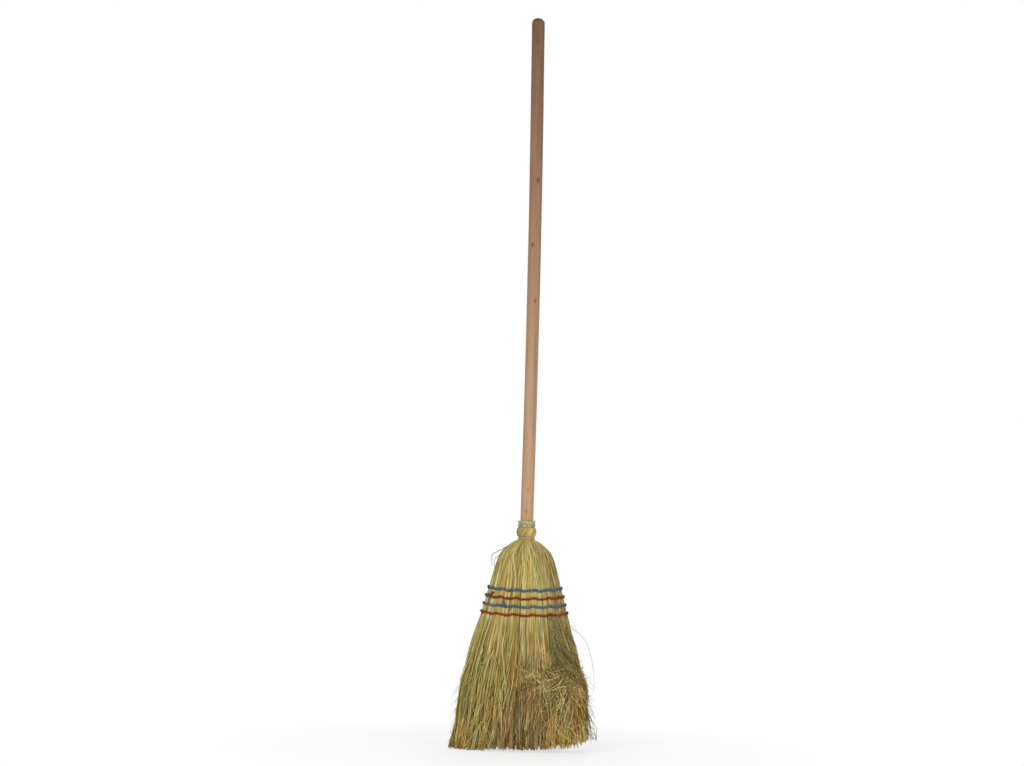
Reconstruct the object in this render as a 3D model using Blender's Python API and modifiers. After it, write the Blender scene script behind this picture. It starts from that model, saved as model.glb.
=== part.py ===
"""Flat millet broom: a turned handle, five straw bundles, two wire bindings and four sewn rows.

Lengths are in metres.  The broom stands on its cut straw tips at z = 0, with the handle up +Z,
the width of the sweep along X and the front towards -Y.
"""

import math

import bmesh
import bpy
import numpy as np

# Handle
broom_length = 1.300
handle_diameter = 0.0230
handle_dome_height = 0.0080
handle_depth_in_straw = 0.107
handle_taper_start_depth = 0.003
handle_tip_diameter = 0.0120
handle_tip_round = 0.0040
handle_sides = 28
dome_steps = 5

# Straw, from the floor up
straw_height = 0.407
sweep_width = 0.252
sweep_depth = 0.082
ruff_wall = 0.0034
seat_wall = 0.0026
bulge_wall = 0.0060
collar_hurl_wall = 0.0020
inner_bundle_drop = 0.021
flute_depth = 0.0010
bundle_skirt = 0.0030

# Strands
strand_pitch = 0.00400
strand_radius = 0.0014
strand_sides = 3
strand_embed = 0.0040
strand_edge_margin = 0.0004
strand_wander = 0.0013
strand_raggedness = 0.0055
tip_cut_depth = 0.0005
raised_corner_height = 0.012
raised_corner_start = 0.055

# Wire bindings
wire_diameter = 0.00105
wire_pitch = 0.00150
wire_seat_margin = 0.0004
upper_wire_drop = 0.0075
lower_wire_drop = 0.0305
upper_wire_turns = 3
lower_wire_turns = 2
points_per_turn = 24

# Nails that hold the wire ends
nail_length = 0.0120
nail_shank_diameter = 0.0016
nail_head_diameter = 0.0040
nail_head_thickness = 0.0008
nail_point_length = 0.0020
nail_sides = 10

# Sewn rows, from the top down
row_twines = ("blue", "red", "blue", "red")
twine_diameter = 0.0030
stitch_diameter = 0.0018
first_row_drop = 0.118
row_spacing = 0.0145
row_sag = 0.0040
row_sag_power = 1.5
row_wave = 0.0010
waves_per_row = 14
points_per_wave = 4
stitches_per_row = 3
points_between_stitches = 5

# Knots and their tails
tuft_radius = 0.0034
knot_radius = 0.0026
tail_radius = 0.0008
tuft_tail_length = 0.0130
knot_tail_length = 0.0090
long_tail_length = 0.0150
knot_segments = 8
knot_rings = 6
tail_bend_rise_share = 0.7
tail_bend_run_share = 0.4
tuft_turn_share = 0.563
upper_knot_turn_share = 0.590
lower_knot_turn_share = 0.665
back_knot_turn_share = 0.143

# Fits
touch_gap = 0.0003
layer_gap = 0.0005
cut_overrun = 0.0050
weld_distance = 0.00001
sharp_degrees = 40
strand_seed = 7

# Middle of each outer bundle and how far it reaches round the outline, in shares of a turn
front_turn_share = 0.75
back_turn_share = 0.25
left_turn_share = 0.50
right_turn_share = 0.00
face_reach_share = 0.345
side_reach_share = 0.155
face_flutes = 16
side_flutes = 6
bore_columns = 10
bulge_steps = 4
inner_columns = 32

# The inner bundle's part of the spread in width and in depth
inner_spread_shares = (0.60, 0.45)

# Spread of the straw under the collar: share of the collar's height, of the width, of the depth
spread_shares = (
    (0.000, 1.000, 1.000),
    (0.104, 0.946, 0.906),
    (0.216, 0.906, 0.813),
    (0.331, 0.857, 0.719),
    (0.443, 0.740, 0.607),
    (0.556, 0.633, 0.494),
    (0.671, 0.535, 0.401),
    (0.842, 0.382, 0.476),
    (0.898, 0.329, 0.476),
    (0.935, 0.275, 0.438),
    (0.954, 0.221, 0.400),
    (0.973, 0.150, 0.326),
    (0.991, 0.069, 0.176),
)

# Height of a strand's middle bend, and its thickness at root, bend and tip
strand_bend_share = 0.331
strand_thickness_shares = (1.00, 0.95, 0.80)

# Worked out from the sizes above
handle_radius = handle_diameter / 2
handle_tip_height = straw_height - handle_depth_in_straw
taper_start_height = straw_height - handle_taper_start_depth
wire_radius = wire_diameter / 2
twine_radius = twine_diameter / 2
seat_radius = handle_radius + seat_wall
upper_wire_height = straw_height - upper_wire_drop
lower_wire_height = straw_height - lower_wire_drop
upper_seat_half = upper_wire_turns * wire_pitch / 2 + wire_radius + wire_seat_margin
lower_seat_half = lower_wire_turns * wire_pitch / 2 + wire_radius + wire_seat_margin
collar_height = lower_wire_height - lower_seat_half
bulge_bottom = lower_wire_height + lower_seat_half
bulge_top = upper_wire_height - upper_seat_half
inner_bundle_top = straw_height - inner_bundle_drop
inner_collar_radius = seat_radius - collar_hurl_wall - layer_gap
row_heights = tuple(
    straw_height - first_row_drop - row * row_spacing for row in range(len(row_twines))
)
bundle_bottom = row_heights[-1] - row_sag - row_wave - twine_radius - bundle_skirt
coil_radius = (seat_radius + touch_gap + wire_radius) / math.cos(math.pi / points_per_turn)

straw_colour = (0.50, 0.37, 0.14)
inner_straw_colour = (0.42, 0.31, 0.12)
wood_colour = (0.45, 0.30, 0.18)
wire_colour = (0.52, 0.53, 0.50)
nail_colour = (0.40, 0.39, 0.36)
blue_colour = (0.020, 0.080, 0.270)
red_colour = (0.330, 0.020, 0.010)


def clear_scene():
    """Remove every object of the open scene."""
    for old in list(bpy.data.objects):
        bpy.data.objects.remove(old, do_unlink=True)


def new_collection(name):
    """A collection linked to the scene."""
    collection = bpy.data.collections.new(name)
    bpy.context.scene.collection.children.link(collection)
    return collection


def make_material(name, colour, roughness, metallic=0.0):
    """A Principled material of one colour."""
    material = bpy.data.materials.new(name)
    material.use_nodes = True
    shader = material.node_tree.nodes["Principled BSDF"]
    shader.inputs["Base Color"].default_value = (*colour, 1.0)
    shader.inputs["Roughness"].default_value = roughness
    shader.inputs["Metallic"].default_value = metallic
    material.diffuse_color = (*colour, 1.0)
    return material


def straw_material(name):
    """Dry matt straw."""
    return make_material(name, straw_colour, 0.75)


def inner_straw_material(name):
    """The darker straw inside the broom."""
    return make_material(name, inner_straw_colour, 0.80)


def wood_material(name):
    """Bare turned wood."""
    return make_material(name, wood_colour, 0.55)


def wire_material(name):
    """Galvanised wire."""
    return make_material(name, wire_colour, 0.35, 1.0)


def nail_material(name):
    """Bright steel nail."""
    return make_material(name, nail_colour, 0.40, 1.0)


def blue_twine_material(name):
    """Blue plastic twine."""
    return make_material(name, blue_colour, 0.50)


def red_twine_material(name):
    """Red plastic twine."""
    return make_material(name, red_colour, 0.50)


def shade_round(mesh):
    """Smooth the faces of a round piece and keep its sharp edges."""
    mesh.shade_smooth()
    mesh.set_sharp_from_angle(angle=math.radians(sharp_degrees))


def add_object(name, data, collection):
    """Put mesh or curve data in a collection as one object."""
    piece = bpy.data.objects.new(name, data)
    collection.objects.link(piece)
    return piece


def add_part(name, data, material):
    """A piece of the broom with its own material."""
    piece = add_object(name, data, parts)
    data.materials.clear()
    data.materials.append(material)
    return piece


def add_cutter(name, data):
    """A piece that only shapes others."""
    piece = add_object(name, data, cutters)
    piece.hide_render = True
    piece.display_type = "WIRE"
    return piece


def join_or_cut(piece, other, operation):
    """Join another solid to a piece, or cut it away."""
    modifier = piece.modifiers.new(other.name, "BOOLEAN")
    modifier.operation = operation
    modifier.solver = "EXACT"
    modifier.object = other


def mesh_from_bmesh(name, shape):
    """Finish a bmesh with its faces pointing out."""
    bmesh.ops.recalc_face_normals(shape, faces=shape.faces)
    mesh = bpy.data.meshes.new(name)
    shape.to_mesh(mesh)
    shape.free()
    return mesh


def turned_object(name, profile, steps, place, smooth=True):
    """Turn a profile of (radius, height) points, top to bottom, about the Z axis."""
    mesh = bpy.data.meshes.new(name)
    points = [(radius, 0.0, height) for radius, height in profile]
    edges = [(index, index + 1) for index in range(len(points) - 1)]
    mesh.from_pydata(points, edges, [])
    piece = place(name, mesh)
    screw = piece.modifiers.new("turn", "SCREW")
    screw.axis = "Z"
    screw.steps = steps
    screw.render_steps = steps
    screw.use_merge_vertices = True
    screw.merge_threshold = weld_distance
    screw.use_smooth_shade = smooth
    return piece


def poly_curve(name, routes, radius, resolution, cyclic=False, thickness=None, profile=None):
    """A curve object of straight-run tubes, one for each route."""
    curve = bpy.data.curves.new(name, "CURVE")
    curve.dimensions = "3D"
    curve.use_fill_caps = not cyclic
    if profile is None:
        curve.bevel_depth = radius
        curve.bevel_resolution = resolution
    else:
        curve.bevel_mode = "OBJECT"
        curve.bevel_object = profile
    for route in routes:
        spline = curve.splines.new("POLY")
        spline.points.add(len(route) - 1)
        for index, place in enumerate(route):
            spline.points[index].co = (*place, 1.0)
            if thickness is not None:
                spline.points[index].radius = thickness[index]
        spline.use_cyclic_u = cyclic
    return curve


def tube_mesh(name, curve):
    """Turn a tube curve into a closed mesh with its caps welded."""
    holder = add_object(name, curve, cutters)
    bpy.context.view_layer.update()
    seen = holder.evaluated_get(bpy.context.evaluated_depsgraph_get())
    mesh = bpy.data.meshes.new_from_object(seen)
    bpy.data.objects.remove(holder, do_unlink=True)
    shape = bmesh.new()
    shape.from_mesh(mesh)
    bpy.data.meshes.remove(mesh)
    bmesh.ops.remove_doubles(shape, verts=shape.verts, dist=weld_distance)
    return mesh_from_bmesh(name, shape)


def handle_radius_at(height):
    """Radius of the handle inside the straw, where it tapers towards its tip."""
    heights = (handle_tip_height + handle_tip_round, taper_start_height)
    return float(np.interp(height, heights, (handle_tip_diameter / 2, handle_radius)))


def straw_outline():
    """Heights of the straw's sections with their half widths and half depths, bottom first."""
    half_width = sweep_width / 2
    half_depth = sweep_depth / 2
    rows = [
        (
            height_share * collar_height,
            seat_radius + (half_width - seat_radius) * width_share,
            seat_radius + (half_depth - seat_radius) * depth_share,
        )
        for height_share, width_share, depth_share in spread_shares
    ]
    neck = [(collar_height, seat_radius)]
    for step in range(bulge_steps + 1):
        rise = step / bulge_steps
        height = bulge_bottom + (bulge_top - bulge_bottom) * rise
        neck.append((height, seat_radius + (bulge_wall - seat_wall) * math.sin(math.pi * rise)))
    neck.append((upper_wire_height + upper_seat_half, seat_radius))
    neck.append((straw_height, handle_radius + ruff_wall))
    rows += [(height, radius, radius) for height, radius in neck]
    return np.array(rows)


def outer_half_axes(height):
    """Half width and half depth of the straw at a height."""
    heights, widths, depths = straw_outline().T
    return float(np.interp(height, heights, widths)), float(np.interp(height, heights, depths))


def inner_half_axes(height):
    """Half width and half depth of the inner bundle at a height."""
    half_width, half_depth = outer_half_axes(min(height, collar_height))
    width_share, depth_share = inner_spread_shares
    return (
        inner_collar_radius + (half_width - seat_radius) * width_share,
        inner_collar_radius + (half_depth - seat_radius) * depth_share,
    )


def bore_half_axes(height):
    """Half axes of the hollow inside the outer bundles: round the inner bundle, then the handle."""
    if height > inner_bundle_top + layer_gap:
        radius = handle_radius_at(height) + touch_gap
        return radius, radius
    half_width, half_depth = inner_half_axes(height)
    return half_width + layer_gap, half_depth + layer_gap


def section_heights(top):
    """Heights of a bundle's sections from its lower face up to its top."""
    heights = [row[0] for row in straw_outline()]
    heights.append(inner_bundle_top + layer_gap)
    between = [height for height in heights if bundle_bottom + bundle_skirt < height < top]
    return sorted([bundle_bottom, *between, top])


def even_angles(start, end, count):
    """Angles that divide the outline between two of its angles into runs of equal length."""
    half_width, half_depth = outer_half_axes(bundle_bottom)
    fine = np.linspace(start, end, 20 * count + 1)
    x = half_width * np.cos(fine)
    y = half_depth * np.sin(fine)
    length = np.concatenate(([0.0], np.cumsum(np.hypot(np.diff(x), np.diff(y)))))
    return np.interp(np.linspace(0.0, length[-1], count + 1), length, fine)


def loft(name, sections):
    """A closed solid through sections with equal numbers of points, bottom first.

    Each side face is split from its lower corner that lies further out, so that the facing
    sides of two neighbouring solids are split alike and keep their gap.
    """
    shape = bmesh.new()
    rings = [[shape.verts.new(place) for place in section] for section in sections]
    count = len(rings[0])
    for low, high in zip(rings, rings[1:]):
        for index in range(count):
            after = (index + 1) % count
            if low[after].co.xy.length > low[index].co.xy.length:
                shape.faces.new((low[index], low[after], high[index]))
                shape.faces.new((low[after], high[after], high[index]))
            else:
                shape.faces.new((low[index], low[after], high[after]))
                shape.faces.new((low[index], high[after], high[index]))
    shape.faces.new(rings[0])
    shape.faces.new(rings[-1])
    return mesh_from_bmesh(name, shape)


def sector_section(height, angles, bore_angles):
    """One fluted section of an outer bundle, along its outside and back along its bore."""
    half_width, half_depth = outer_half_axes(height)
    bottom_width, bottom_depth = outer_half_axes(bundle_bottom)
    depth = flute_depth * (half_width + half_depth) / (bottom_width + bottom_depth)
    bore_width, bore_depth = bore_half_axes(height)
    outside = []
    for index, angle in enumerate(angles):
        valley = depth if index % 2 == 0 else 0.0
        x = (half_width - valley) * math.cos(angle)
        y = (half_depth - valley) * math.sin(angle)
        outside.append((x, y, height))
    inside = [
        (bore_width * math.cos(angle), bore_depth * math.sin(angle), height)
        for angle in bore_angles[::-1]
    ]
    return outside + inside


def sector_limits(middle_share, reach_share):
    """Start and end angle of an outer bundle, less half the gap to its neighbours."""
    half_gap = touch_gap / handle_radius / 2
    middle = 2 * math.pi * middle_share
    reach = math.pi * reach_share
    return middle - reach + half_gap, middle + reach - half_gap


def sector_inside(limits):
    """A test for points of the lower face that lie well inside an outer bundle."""
    margin = strand_radius + strand_edge_margin
    outer = np.array(outer_half_axes(bundle_bottom))
    bore = np.array(bore_half_axes(bundle_bottom))
    flute_margin = margin + flute_depth

    def side(point, angle):
        turn = np.array((math.cos(angle), math.sin(angle)))
        start = bore * turn
        run = outer * turn - start
        away = point - start
        return (run[0] * away[1] - run[1] * away[0]) / np.hypot(*run)

    def inside(point):
        in_outline = np.hypot(*(point / (outer - flute_margin))) < 1
        past_bore = np.hypot(*(point / (bore + margin))) > 1
        after_start = side(point, limits[0]) > margin
        before_end = side(point, limits[1]) < -margin
        faces_out = np.dot(point / outer, (math.cos(sum(limits) / 2), math.sin(sum(limits) / 2))) > 0
        return in_outline and past_bore and after_start and before_end and faces_out

    return inside


def inner_inside(point):
    """Whether a point of the lower face lies well inside the inner bundle."""
    margin = strand_radius + strand_edge_margin
    return np.hypot(*(point / (np.array(inner_half_axes(bundle_bottom)) - margin))) < 1


def strand_grid():
    """Points of a staggered grid over the bundles' lower face, with one at its centre."""
    half_width, half_depth = outer_half_axes(bundle_bottom)
    row_pitch = strand_pitch * math.sqrt(0.75)
    rows = int(half_depth / row_pitch)
    columns = int(half_width / strand_pitch) + 1
    for row in range(-rows, rows + 1):
        shift = strand_pitch / 2 * (row % 2)
        for column in range(-columns, columns + 1):
            yield np.array((column * strand_pitch + shift, row * row_pitch))


def strand_route(root, random):
    """Root, bend and tip of one strand, spread as the outline spreads below the bundles."""
    margin = strand_radius + strand_edge_margin
    root_axes = np.array(outer_half_axes(bundle_bottom)) - margin
    bend_height = strand_bend_share * collar_height
    bend_axes = np.array(outer_half_axes(bend_height)) - margin
    tip_axes = np.array(outer_half_axes(0.0)) - margin
    wander = random.uniform(-1, 1, size=(2, 2)) * strand_wander
    short = random.uniform(-1, 1) * strand_raggedness
    if not root.any():
        wander *= 0
        short = -tip_cut_depth
    bend = root * bend_axes / root_axes + wander[0]
    tip = root * tip_axes / root_axes + wander[1]
    lift = raised_corner_height * max(0.0, tip[0] - raised_corner_start)
    lift /= sweep_width / 2 - raised_corner_start
    tip_height = max(-tip_cut_depth, short + lift)
    slope = (bend - root) / (bend_height - bundle_bottom)
    start = root + slope * strand_embed
    return (
        (*start, bundle_bottom + strand_embed),
        (*bend, bend_height),
        (*tip, tip_height),
    )


def strand_profile():
    """The triangular section of a strand."""
    curve = bpy.data.curves.new("strand_profile", "CURVE")
    curve.dimensions = "2D"
    spline = curve.splines.new("POLY")
    spline.points.add(strand_sides - 1)
    for index in range(strand_sides):
        angle = 2 * math.pi * index / strand_sides
        spline.points[index].co = (
            strand_radius * math.cos(angle),
            strand_radius * math.sin(angle),
            0.0,
            1.0,
        )
    spline.use_cyclic_u = True
    return add_cutter("strand_profile", curve)


def strands(name, inside, profile, random):
    """The strands of one bundle as a joining solid, cut flat at the floor."""
    routes = [strand_route(root, random) for root in strand_grid() if inside(root)]
    curve = poly_curve(name, routes, 0.0, 0, thickness=strand_thickness_shares, profile=profile)
    mesh = tube_mesh(name, curve)
    shape = bmesh.new()
    shape.from_mesh(mesh)
    every = [*shape.verts, *shape.edges, *shape.faces]
    bmesh.ops.bisect_plane(shape, geom=every, dist=0.0, plane_no=(0, 0, -1), clear_outer=True)
    open_edges = [edge for edge in shape.edges if edge.is_boundary]
    bmesh.ops.holes_fill(shape, edges=open_edges)
    bmesh.ops.recalc_face_normals(shape, faces=shape.faces)
    shape.to_mesh(mesh)
    shape.free()
    print(f"{name}: {len(routes)} strands")
    return add_cutter(name, mesh)


def outer_bundle(name, middle_share, reach_share, flutes, profile, random):
    """One fluted bundle of the outside with its strands."""
    limits = sector_limits(middle_share, reach_share)
    angles = even_angles(*limits, 2 * flutes)
    bore_angles = np.linspace(*limits, bore_columns + 1)
    sections = [
        sector_section(height, angles, bore_angles) for height in section_heights(straw_height)
    ]
    piece = add_part(name, loft(name, sections), straw_material(name))
    join_or_cut(piece, strands(f"{name}_strands", sector_inside(limits), profile, random), "UNION")
    return piece


def inner_bundle(profile, random):
    """The bundle round the handle's tip, inside the four outer ones."""
    name = "inner_bundle"
    angles = even_angles(0.0, 2 * math.pi, inner_columns)[:-1]
    sections = []
    for height in section_heights(inner_bundle_top):
        half_width, half_depth = inner_half_axes(height)
        sections.append(
            [(half_width * math.cos(a), half_depth * math.sin(a), height) for a in angles]
        )
    piece = add_part(name, loft(name, sections), inner_straw_material(name))
    join_or_cut(piece, strands(f"{name}_strands", inner_inside, profile, random), "UNION")
    return piece


def handle_profile(gap):
    """Points down the outside of the handle, moved out by a gap."""
    radius = handle_radius + gap
    dome_base = broom_length - handle_dome_height
    dome = [
        (radius * math.sin(angle), dome_base + (handle_dome_height + gap) * math.cos(angle))
        for angle in np.linspace(0.0, math.pi / 2, dome_steps + 1)
    ]
    tip_radius = handle_tip_diameter / 2
    tip = [
        (tip_radius + gap, handle_tip_height + handle_tip_round),
        (tip_radius + gap - handle_tip_round / 2, handle_tip_height - gap),
        (0.0, handle_tip_height - gap),
    ]
    return [*dome, (radius, taper_start_height), *tip]


def handle():
    """The turned stick with its domed end and tapered tip."""

    def place(name, mesh):
        return add_part(name, mesh, wood_material(name))

    return turned_object("handle", handle_profile(0.0), handle_sides, place)


def least_self_gap(route, diameter):
    """Least clear distance between turns of one wire, measured on its points."""
    places = np.array(route)
    best = math.inf
    for index in range(len(places) - points_per_turn // 2):
        later = places[index + points_per_turn // 2 :]
        best = min(best, float(np.linalg.norm(later - places[index], axis=1).min()))
    return best - diameter


def wire_binding(name, height, turns):
    """A close winding of wire round the neck, with its straight ends at the back."""
    count = turns * points_per_turn
    route = []
    for index in range(count + 1):
        angle = math.pi / 2 + 2 * math.pi * index / points_per_turn
        rise = wire_pitch * (index / points_per_turn - turns / 2)
        route.append(
            (coil_radius * math.cos(angle), coil_radius * math.sin(angle), height + rise)
        )
    first = (route[0][0] + wire_diameter, route[0][1], route[0][2])
    last = (route[-1][0] - wire_diameter, route[-1][1], route[-1][2])
    route = [first, *route, last]
    print(f"{name}: least gap to itself {least_self_gap(route, wire_diameter) * 1000:.3f} mm")
    mesh = tube_mesh(name, poly_curve(name, [route], wire_radius, 1))
    shade_round(mesh)
    return add_part(name, mesh, wire_material(name))


def nail_heights():
    """Height of the nail just under the upper wire and of the one just over the lower wire."""
    step = nail_shank_diameter / 2 + touch_gap * 2 + wire_radius
    under = upper_wire_height - upper_wire_turns * wire_pitch / 2 - step
    over = lower_wire_height + lower_wire_turns * wire_pitch / 2 + step
    return under, over


def nail_seat(height):
    """Distance of a nail head's underside from the axis, clear of wire and straw."""
    head = nail_head_diameter / 2
    straw = max(outer_half_axes(z)[1] for z in (height - head, height, height + head))
    return max(straw, coil_radius + wire_radius) + touch_gap


def nail(name, height):
    """A small nail driven in from the back."""
    head = nail_head_diameter / 2
    shank = nail_shank_diameter / 2
    profile = (
        (0.0, nail_head_thickness),
        (head, nail_head_thickness),
        (head, 0.0),
        (shank, 0.0),
        (shank, nail_point_length - nail_length),
        (0.0, -nail_length),
    )

    def place(label, mesh):
        return add_part(label, mesh, nail_material(label))

    piece = turned_object(name, profile, nail_sides, place, smooth=False)
    piece.location = (0.0, nail_seat(height), height)
    piece.rotation_euler = (-math.pi / 2, 0.0, 0.0)
    return piece


def nail_hole(name, height):
    """The hole that a nail's shank goes through."""
    radius = nail_shank_diameter / 2 + touch_gap
    seat = nail_seat(height)
    deep = seat - nail_length - touch_gap
    profile = (
        (0.0, seat + cut_overrun),
        (radius, seat + cut_overrun),
        (radius, deep),
        (0.0, deep),
    )
    cutter = turned_object(name, profile, nail_sides, add_cutter)
    cutter.location = (0.0, 0.0, height)
    cutter.rotation_euler = (-math.pi / 2, 0.0, 0.0)
    return cutter


def surface_place(angle, height, offset):
    """A point off the outline at an angle, moved straight out by an offset."""
    half_width, half_depth = outer_half_axes(height)
    normal = np.array((math.cos(angle) / half_width, math.sin(angle) / half_depth))
    normal /= np.hypot(*normal)
    x = half_width * math.cos(angle) + offset * normal[0]
    y = half_depth * math.sin(angle) + offset * normal[1]
    return x, y, height


def row_height_at(row, angle):
    """Height of a sewn row at an angle: it hangs lower in the middle of each face and waves."""
    sag = row_sag * abs(math.sin(angle)) ** row_sag_power
    return row_heights[row] - sag + row_wave * math.cos(waves_per_row * angle)


def row_place(row, index):
    """One point along a row's twine."""
    angle = 2 * math.pi * index / (waves_per_row * points_per_wave)
    return surface_place(angle, row_height_at(row, angle), layer_gap + twine_radius)


def stitch_indices():
    """Points on the front of a row where the twine is sewn through to the back."""
    count = waves_per_row * points_per_wave
    first = 3 * count // 4 - points_between_stitches * (stitches_per_row - 1) // 2
    return [first + points_between_stitches * stitch for stitch in range(stitches_per_row)]


def stitch_route(row, index, overrun):
    """A straight stitch from the front of a row to its back."""
    front = np.array(row_place(row, index))
    back = np.array(row_place(row, -index))
    run = (back - front) / np.linalg.norm(back - front)
    return tuple(front - run * overrun), tuple(back + run * overrun)


def sewn_row(name, row, material):
    """A row of twine round the straw with its stitches through it."""
    count = waves_per_row * points_per_wave
    ring = [row_place(row, index) for index in range(count)]
    mesh = tube_mesh(name, poly_curve(name, [ring], twine_radius, 1, cyclic=True))
    shade_round(mesh)
    piece = add_part(name, mesh, material(name))
    routes = [stitch_route(row, index, 0.0) for index in stitch_indices()]
    curve = poly_curve(f"{name}_stitches", routes, stitch_diameter / 2, 0)
    stitches = add_cutter(f"{name}_stitches", tube_mesh(f"{name}_stitches", curve))
    join_or_cut(piece, stitches, "UNION")
    return piece


def stitch_holes():
    """The holes that the stitches of every row go through."""
    routes = [
        stitch_route(row, index, cut_overrun)
        for row in range(len(row_heights))
        for index in stitch_indices()
    ]
    radius = stitch_diameter / 2 + touch_gap
    return add_cutter("stitch_holes", tube_mesh("stitch_holes", poly_curve("holes", routes, radius, 0)))


def knot_height(angle, row, above, radius):
    """Height of a knot's centre, just clear of the row above or below it."""
    half_width, half_depth = outer_half_axes(row_heights[row])
    reach = radius / math.hypot(half_width * math.sin(angle), half_depth * math.cos(angle))
    heights = [row_height_at(row, angle + shift) for shift in np.linspace(-reach, reach, 5)]
    step = twine_radius + layer_gap + radius
    return max(heights) + step if above else min(heights) - step


def tied_knot(name, angle_share, row, above, radius, tails, material):
    """A knot beside a row, lying on the straw, with its loose tails.

    Each tail is a length and a direction: along the outline, straight out and up, in shares.
    """
    angle = 2 * math.pi * angle_share
    height = knot_height(angle, row, above, radius)
    centre = np.array(surface_place(angle, height, radius + touch_gap))
    further = np.array(surface_place(angle, height, radius + touch_gap + twine_diameter))
    out = (further - centre) / np.linalg.norm(further - centre)
    along = np.array((-out[1], out[0], 0.0))
    up = np.array((0.0, 0.0, 1.0))
    shape = bmesh.new()
    bmesh.ops.create_uvsphere(
        shape, u_segments=knot_segments, v_segments=knot_rings, radius=radius
    )
    bmesh.ops.translate(shape, verts=shape.verts, vec=centre)
    mesh = mesh_from_bmesh(name, shape)
    shade_round(mesh)
    piece = add_part(name, mesh, material(name))
    for number, (length, shares) in enumerate(tails):
        reach = along * shares[0] + out * shares[1] + up * shares[2]
        lift = out * (radius + twine_radius)
        bend = centre + lift * tail_bend_rise_share + reach * length * tail_bend_run_share
        route = (centre, bend, centre + lift + reach * length)
        label = f"{name}_tail_{number + 1}"
        tail = tube_mesh(label, poly_curve(label, [route], tail_radius, 0))
        join_or_cut(piece, add_cutter(label, tail), "UNION")
    return piece


def outer_bundles(profile, random):
    """The four bundles that make the outside of the broom."""
    face = (face_reach_share, face_flutes, profile, random)
    side = (side_reach_share, side_flutes, profile, random)
    front = outer_bundle("front_hurl", front_turn_share, *face)
    back = outer_bundle("back_hurl", back_turn_share, *face)
    outer_bundle("left_shoulder", left_turn_share, *side)
    outer_bundle("right_shoulder", right_turn_share, *side)
    return front, back


def bindings(cut_by_both, cut_by_lower):
    """The wire windings, and the nails with the holes that they are driven into."""
    wire_binding("upper_wire_binding", upper_wire_height, upper_wire_turns)
    wire_binding("lower_wire_binding", lower_wire_height, lower_wire_turns)
    under, over = nail_heights()
    nail("upper_wire_nail", under)
    nail("lower_wire_nail", over)
    upper_hole = nail_hole("upper_nail_hole", under)
    lower_hole = nail_hole("lower_nail_hole", over)
    for piece in cut_by_both:
        join_or_cut(piece, upper_hole, "DIFFERENCE")
    for piece in (*cut_by_both, cut_by_lower):
        join_or_cut(piece, lower_hole, "DIFFERENCE")


def sewn_rows(sewn_pieces):
    """The four rows of twine, and the holes of their stitches."""
    materials = {"blue": blue_twine_material, "red": red_twine_material}
    for row, twine in enumerate(row_twines):
        place = "upper" if row < len(row_twines) / 2 else "lower"
        sewn_row(f"{place}_{twine}_row", row, materials[twine])
    holes = stitch_holes()
    for piece in sewn_pieces:
        join_or_cut(piece, holes, "DIFFERENCE")


def knots():
    """The tied ends of the rows."""
    tuft = (
        (tuft_tail_length, (-0.8, 0.4, -0.4)),
        (tuft_tail_length, (-0.5, 0.7, 0.5)),
        (tuft_tail_length, (-0.2, 0.5, -0.8)),
    )
    short = ((knot_tail_length, (-0.6, 0.5, 0.6)),)
    long = ((long_tail_length, (-0.2, 0.2, 0.9)),)
    back = ((knot_tail_length, (0.6, 0.5, -0.6)),)
    blue = blue_twine_material
    red = red_twine_material
    tied_knot("upper_blue_tuft", tuft_turn_share, 0, False, tuft_radius, tuft, blue)
    tied_knot("upper_red_knot", upper_knot_turn_share, 1, False, knot_radius, short, red)
    tied_knot("lower_blue_knot", lower_knot_turn_share, 2, True, knot_radius, long, blue)
    tied_knot("lower_red_knot", back_knot_turn_share, 3, True, knot_radius, back, red)


def build():
    """Build every piece and fit the pieces to each other."""
    random = np.random.default_rng(strand_seed)
    profile = strand_profile()
    stick = handle()
    front, back = outer_bundles(profile, random)
    inner = inner_bundle(profile, random)
    bore = turned_object("handle_bore", handle_profile(touch_gap), handle_sides, add_cutter)
    join_or_cut(inner, bore, "DIFFERENCE")
    bindings((stick, back), inner)
    sewn_rows((front, inner, back))
    knots()


clear_scene()
parts = new_collection("millet_broom")
cutters = new_collection("millet_broom_cutters")
build()
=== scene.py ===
"""A millet broom, dressed for its picture: straw, twine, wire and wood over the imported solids."""

import logging
import math
from dataclasses import dataclass, replace
from enum import Enum

import bpy
import numpy as np
from mathutils import Matrix, Vector


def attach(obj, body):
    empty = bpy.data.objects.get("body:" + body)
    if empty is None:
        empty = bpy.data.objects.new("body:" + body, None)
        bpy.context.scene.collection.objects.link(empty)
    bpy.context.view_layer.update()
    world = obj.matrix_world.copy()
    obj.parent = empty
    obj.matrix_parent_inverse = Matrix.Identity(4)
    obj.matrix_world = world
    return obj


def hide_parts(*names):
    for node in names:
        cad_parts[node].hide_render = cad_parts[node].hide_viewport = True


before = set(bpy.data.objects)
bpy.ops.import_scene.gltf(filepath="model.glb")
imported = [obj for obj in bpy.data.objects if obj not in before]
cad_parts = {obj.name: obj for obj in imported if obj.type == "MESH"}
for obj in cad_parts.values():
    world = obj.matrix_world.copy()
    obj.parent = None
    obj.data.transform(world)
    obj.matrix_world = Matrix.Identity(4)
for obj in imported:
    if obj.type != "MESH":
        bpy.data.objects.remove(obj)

Array = np.ndarray
Chance = np.random.Generator
Socket = bpy.types.NodeSocket
Material = bpy.types.Material
Point = tuple[float, float, float]
Shade = tuple[int, int, int]
log = logging.getLogger("millet_broom")
BODY = "root"


# Sums on whole arrays


def bell(x: Array, middle: float | Array, width: float) -> Array:
    """One at the middle, falling off to both sides: exp of minus ((x - middle) / width) squared."""
    return np.exp(-(((x - middle) / width) ** 2))


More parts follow.
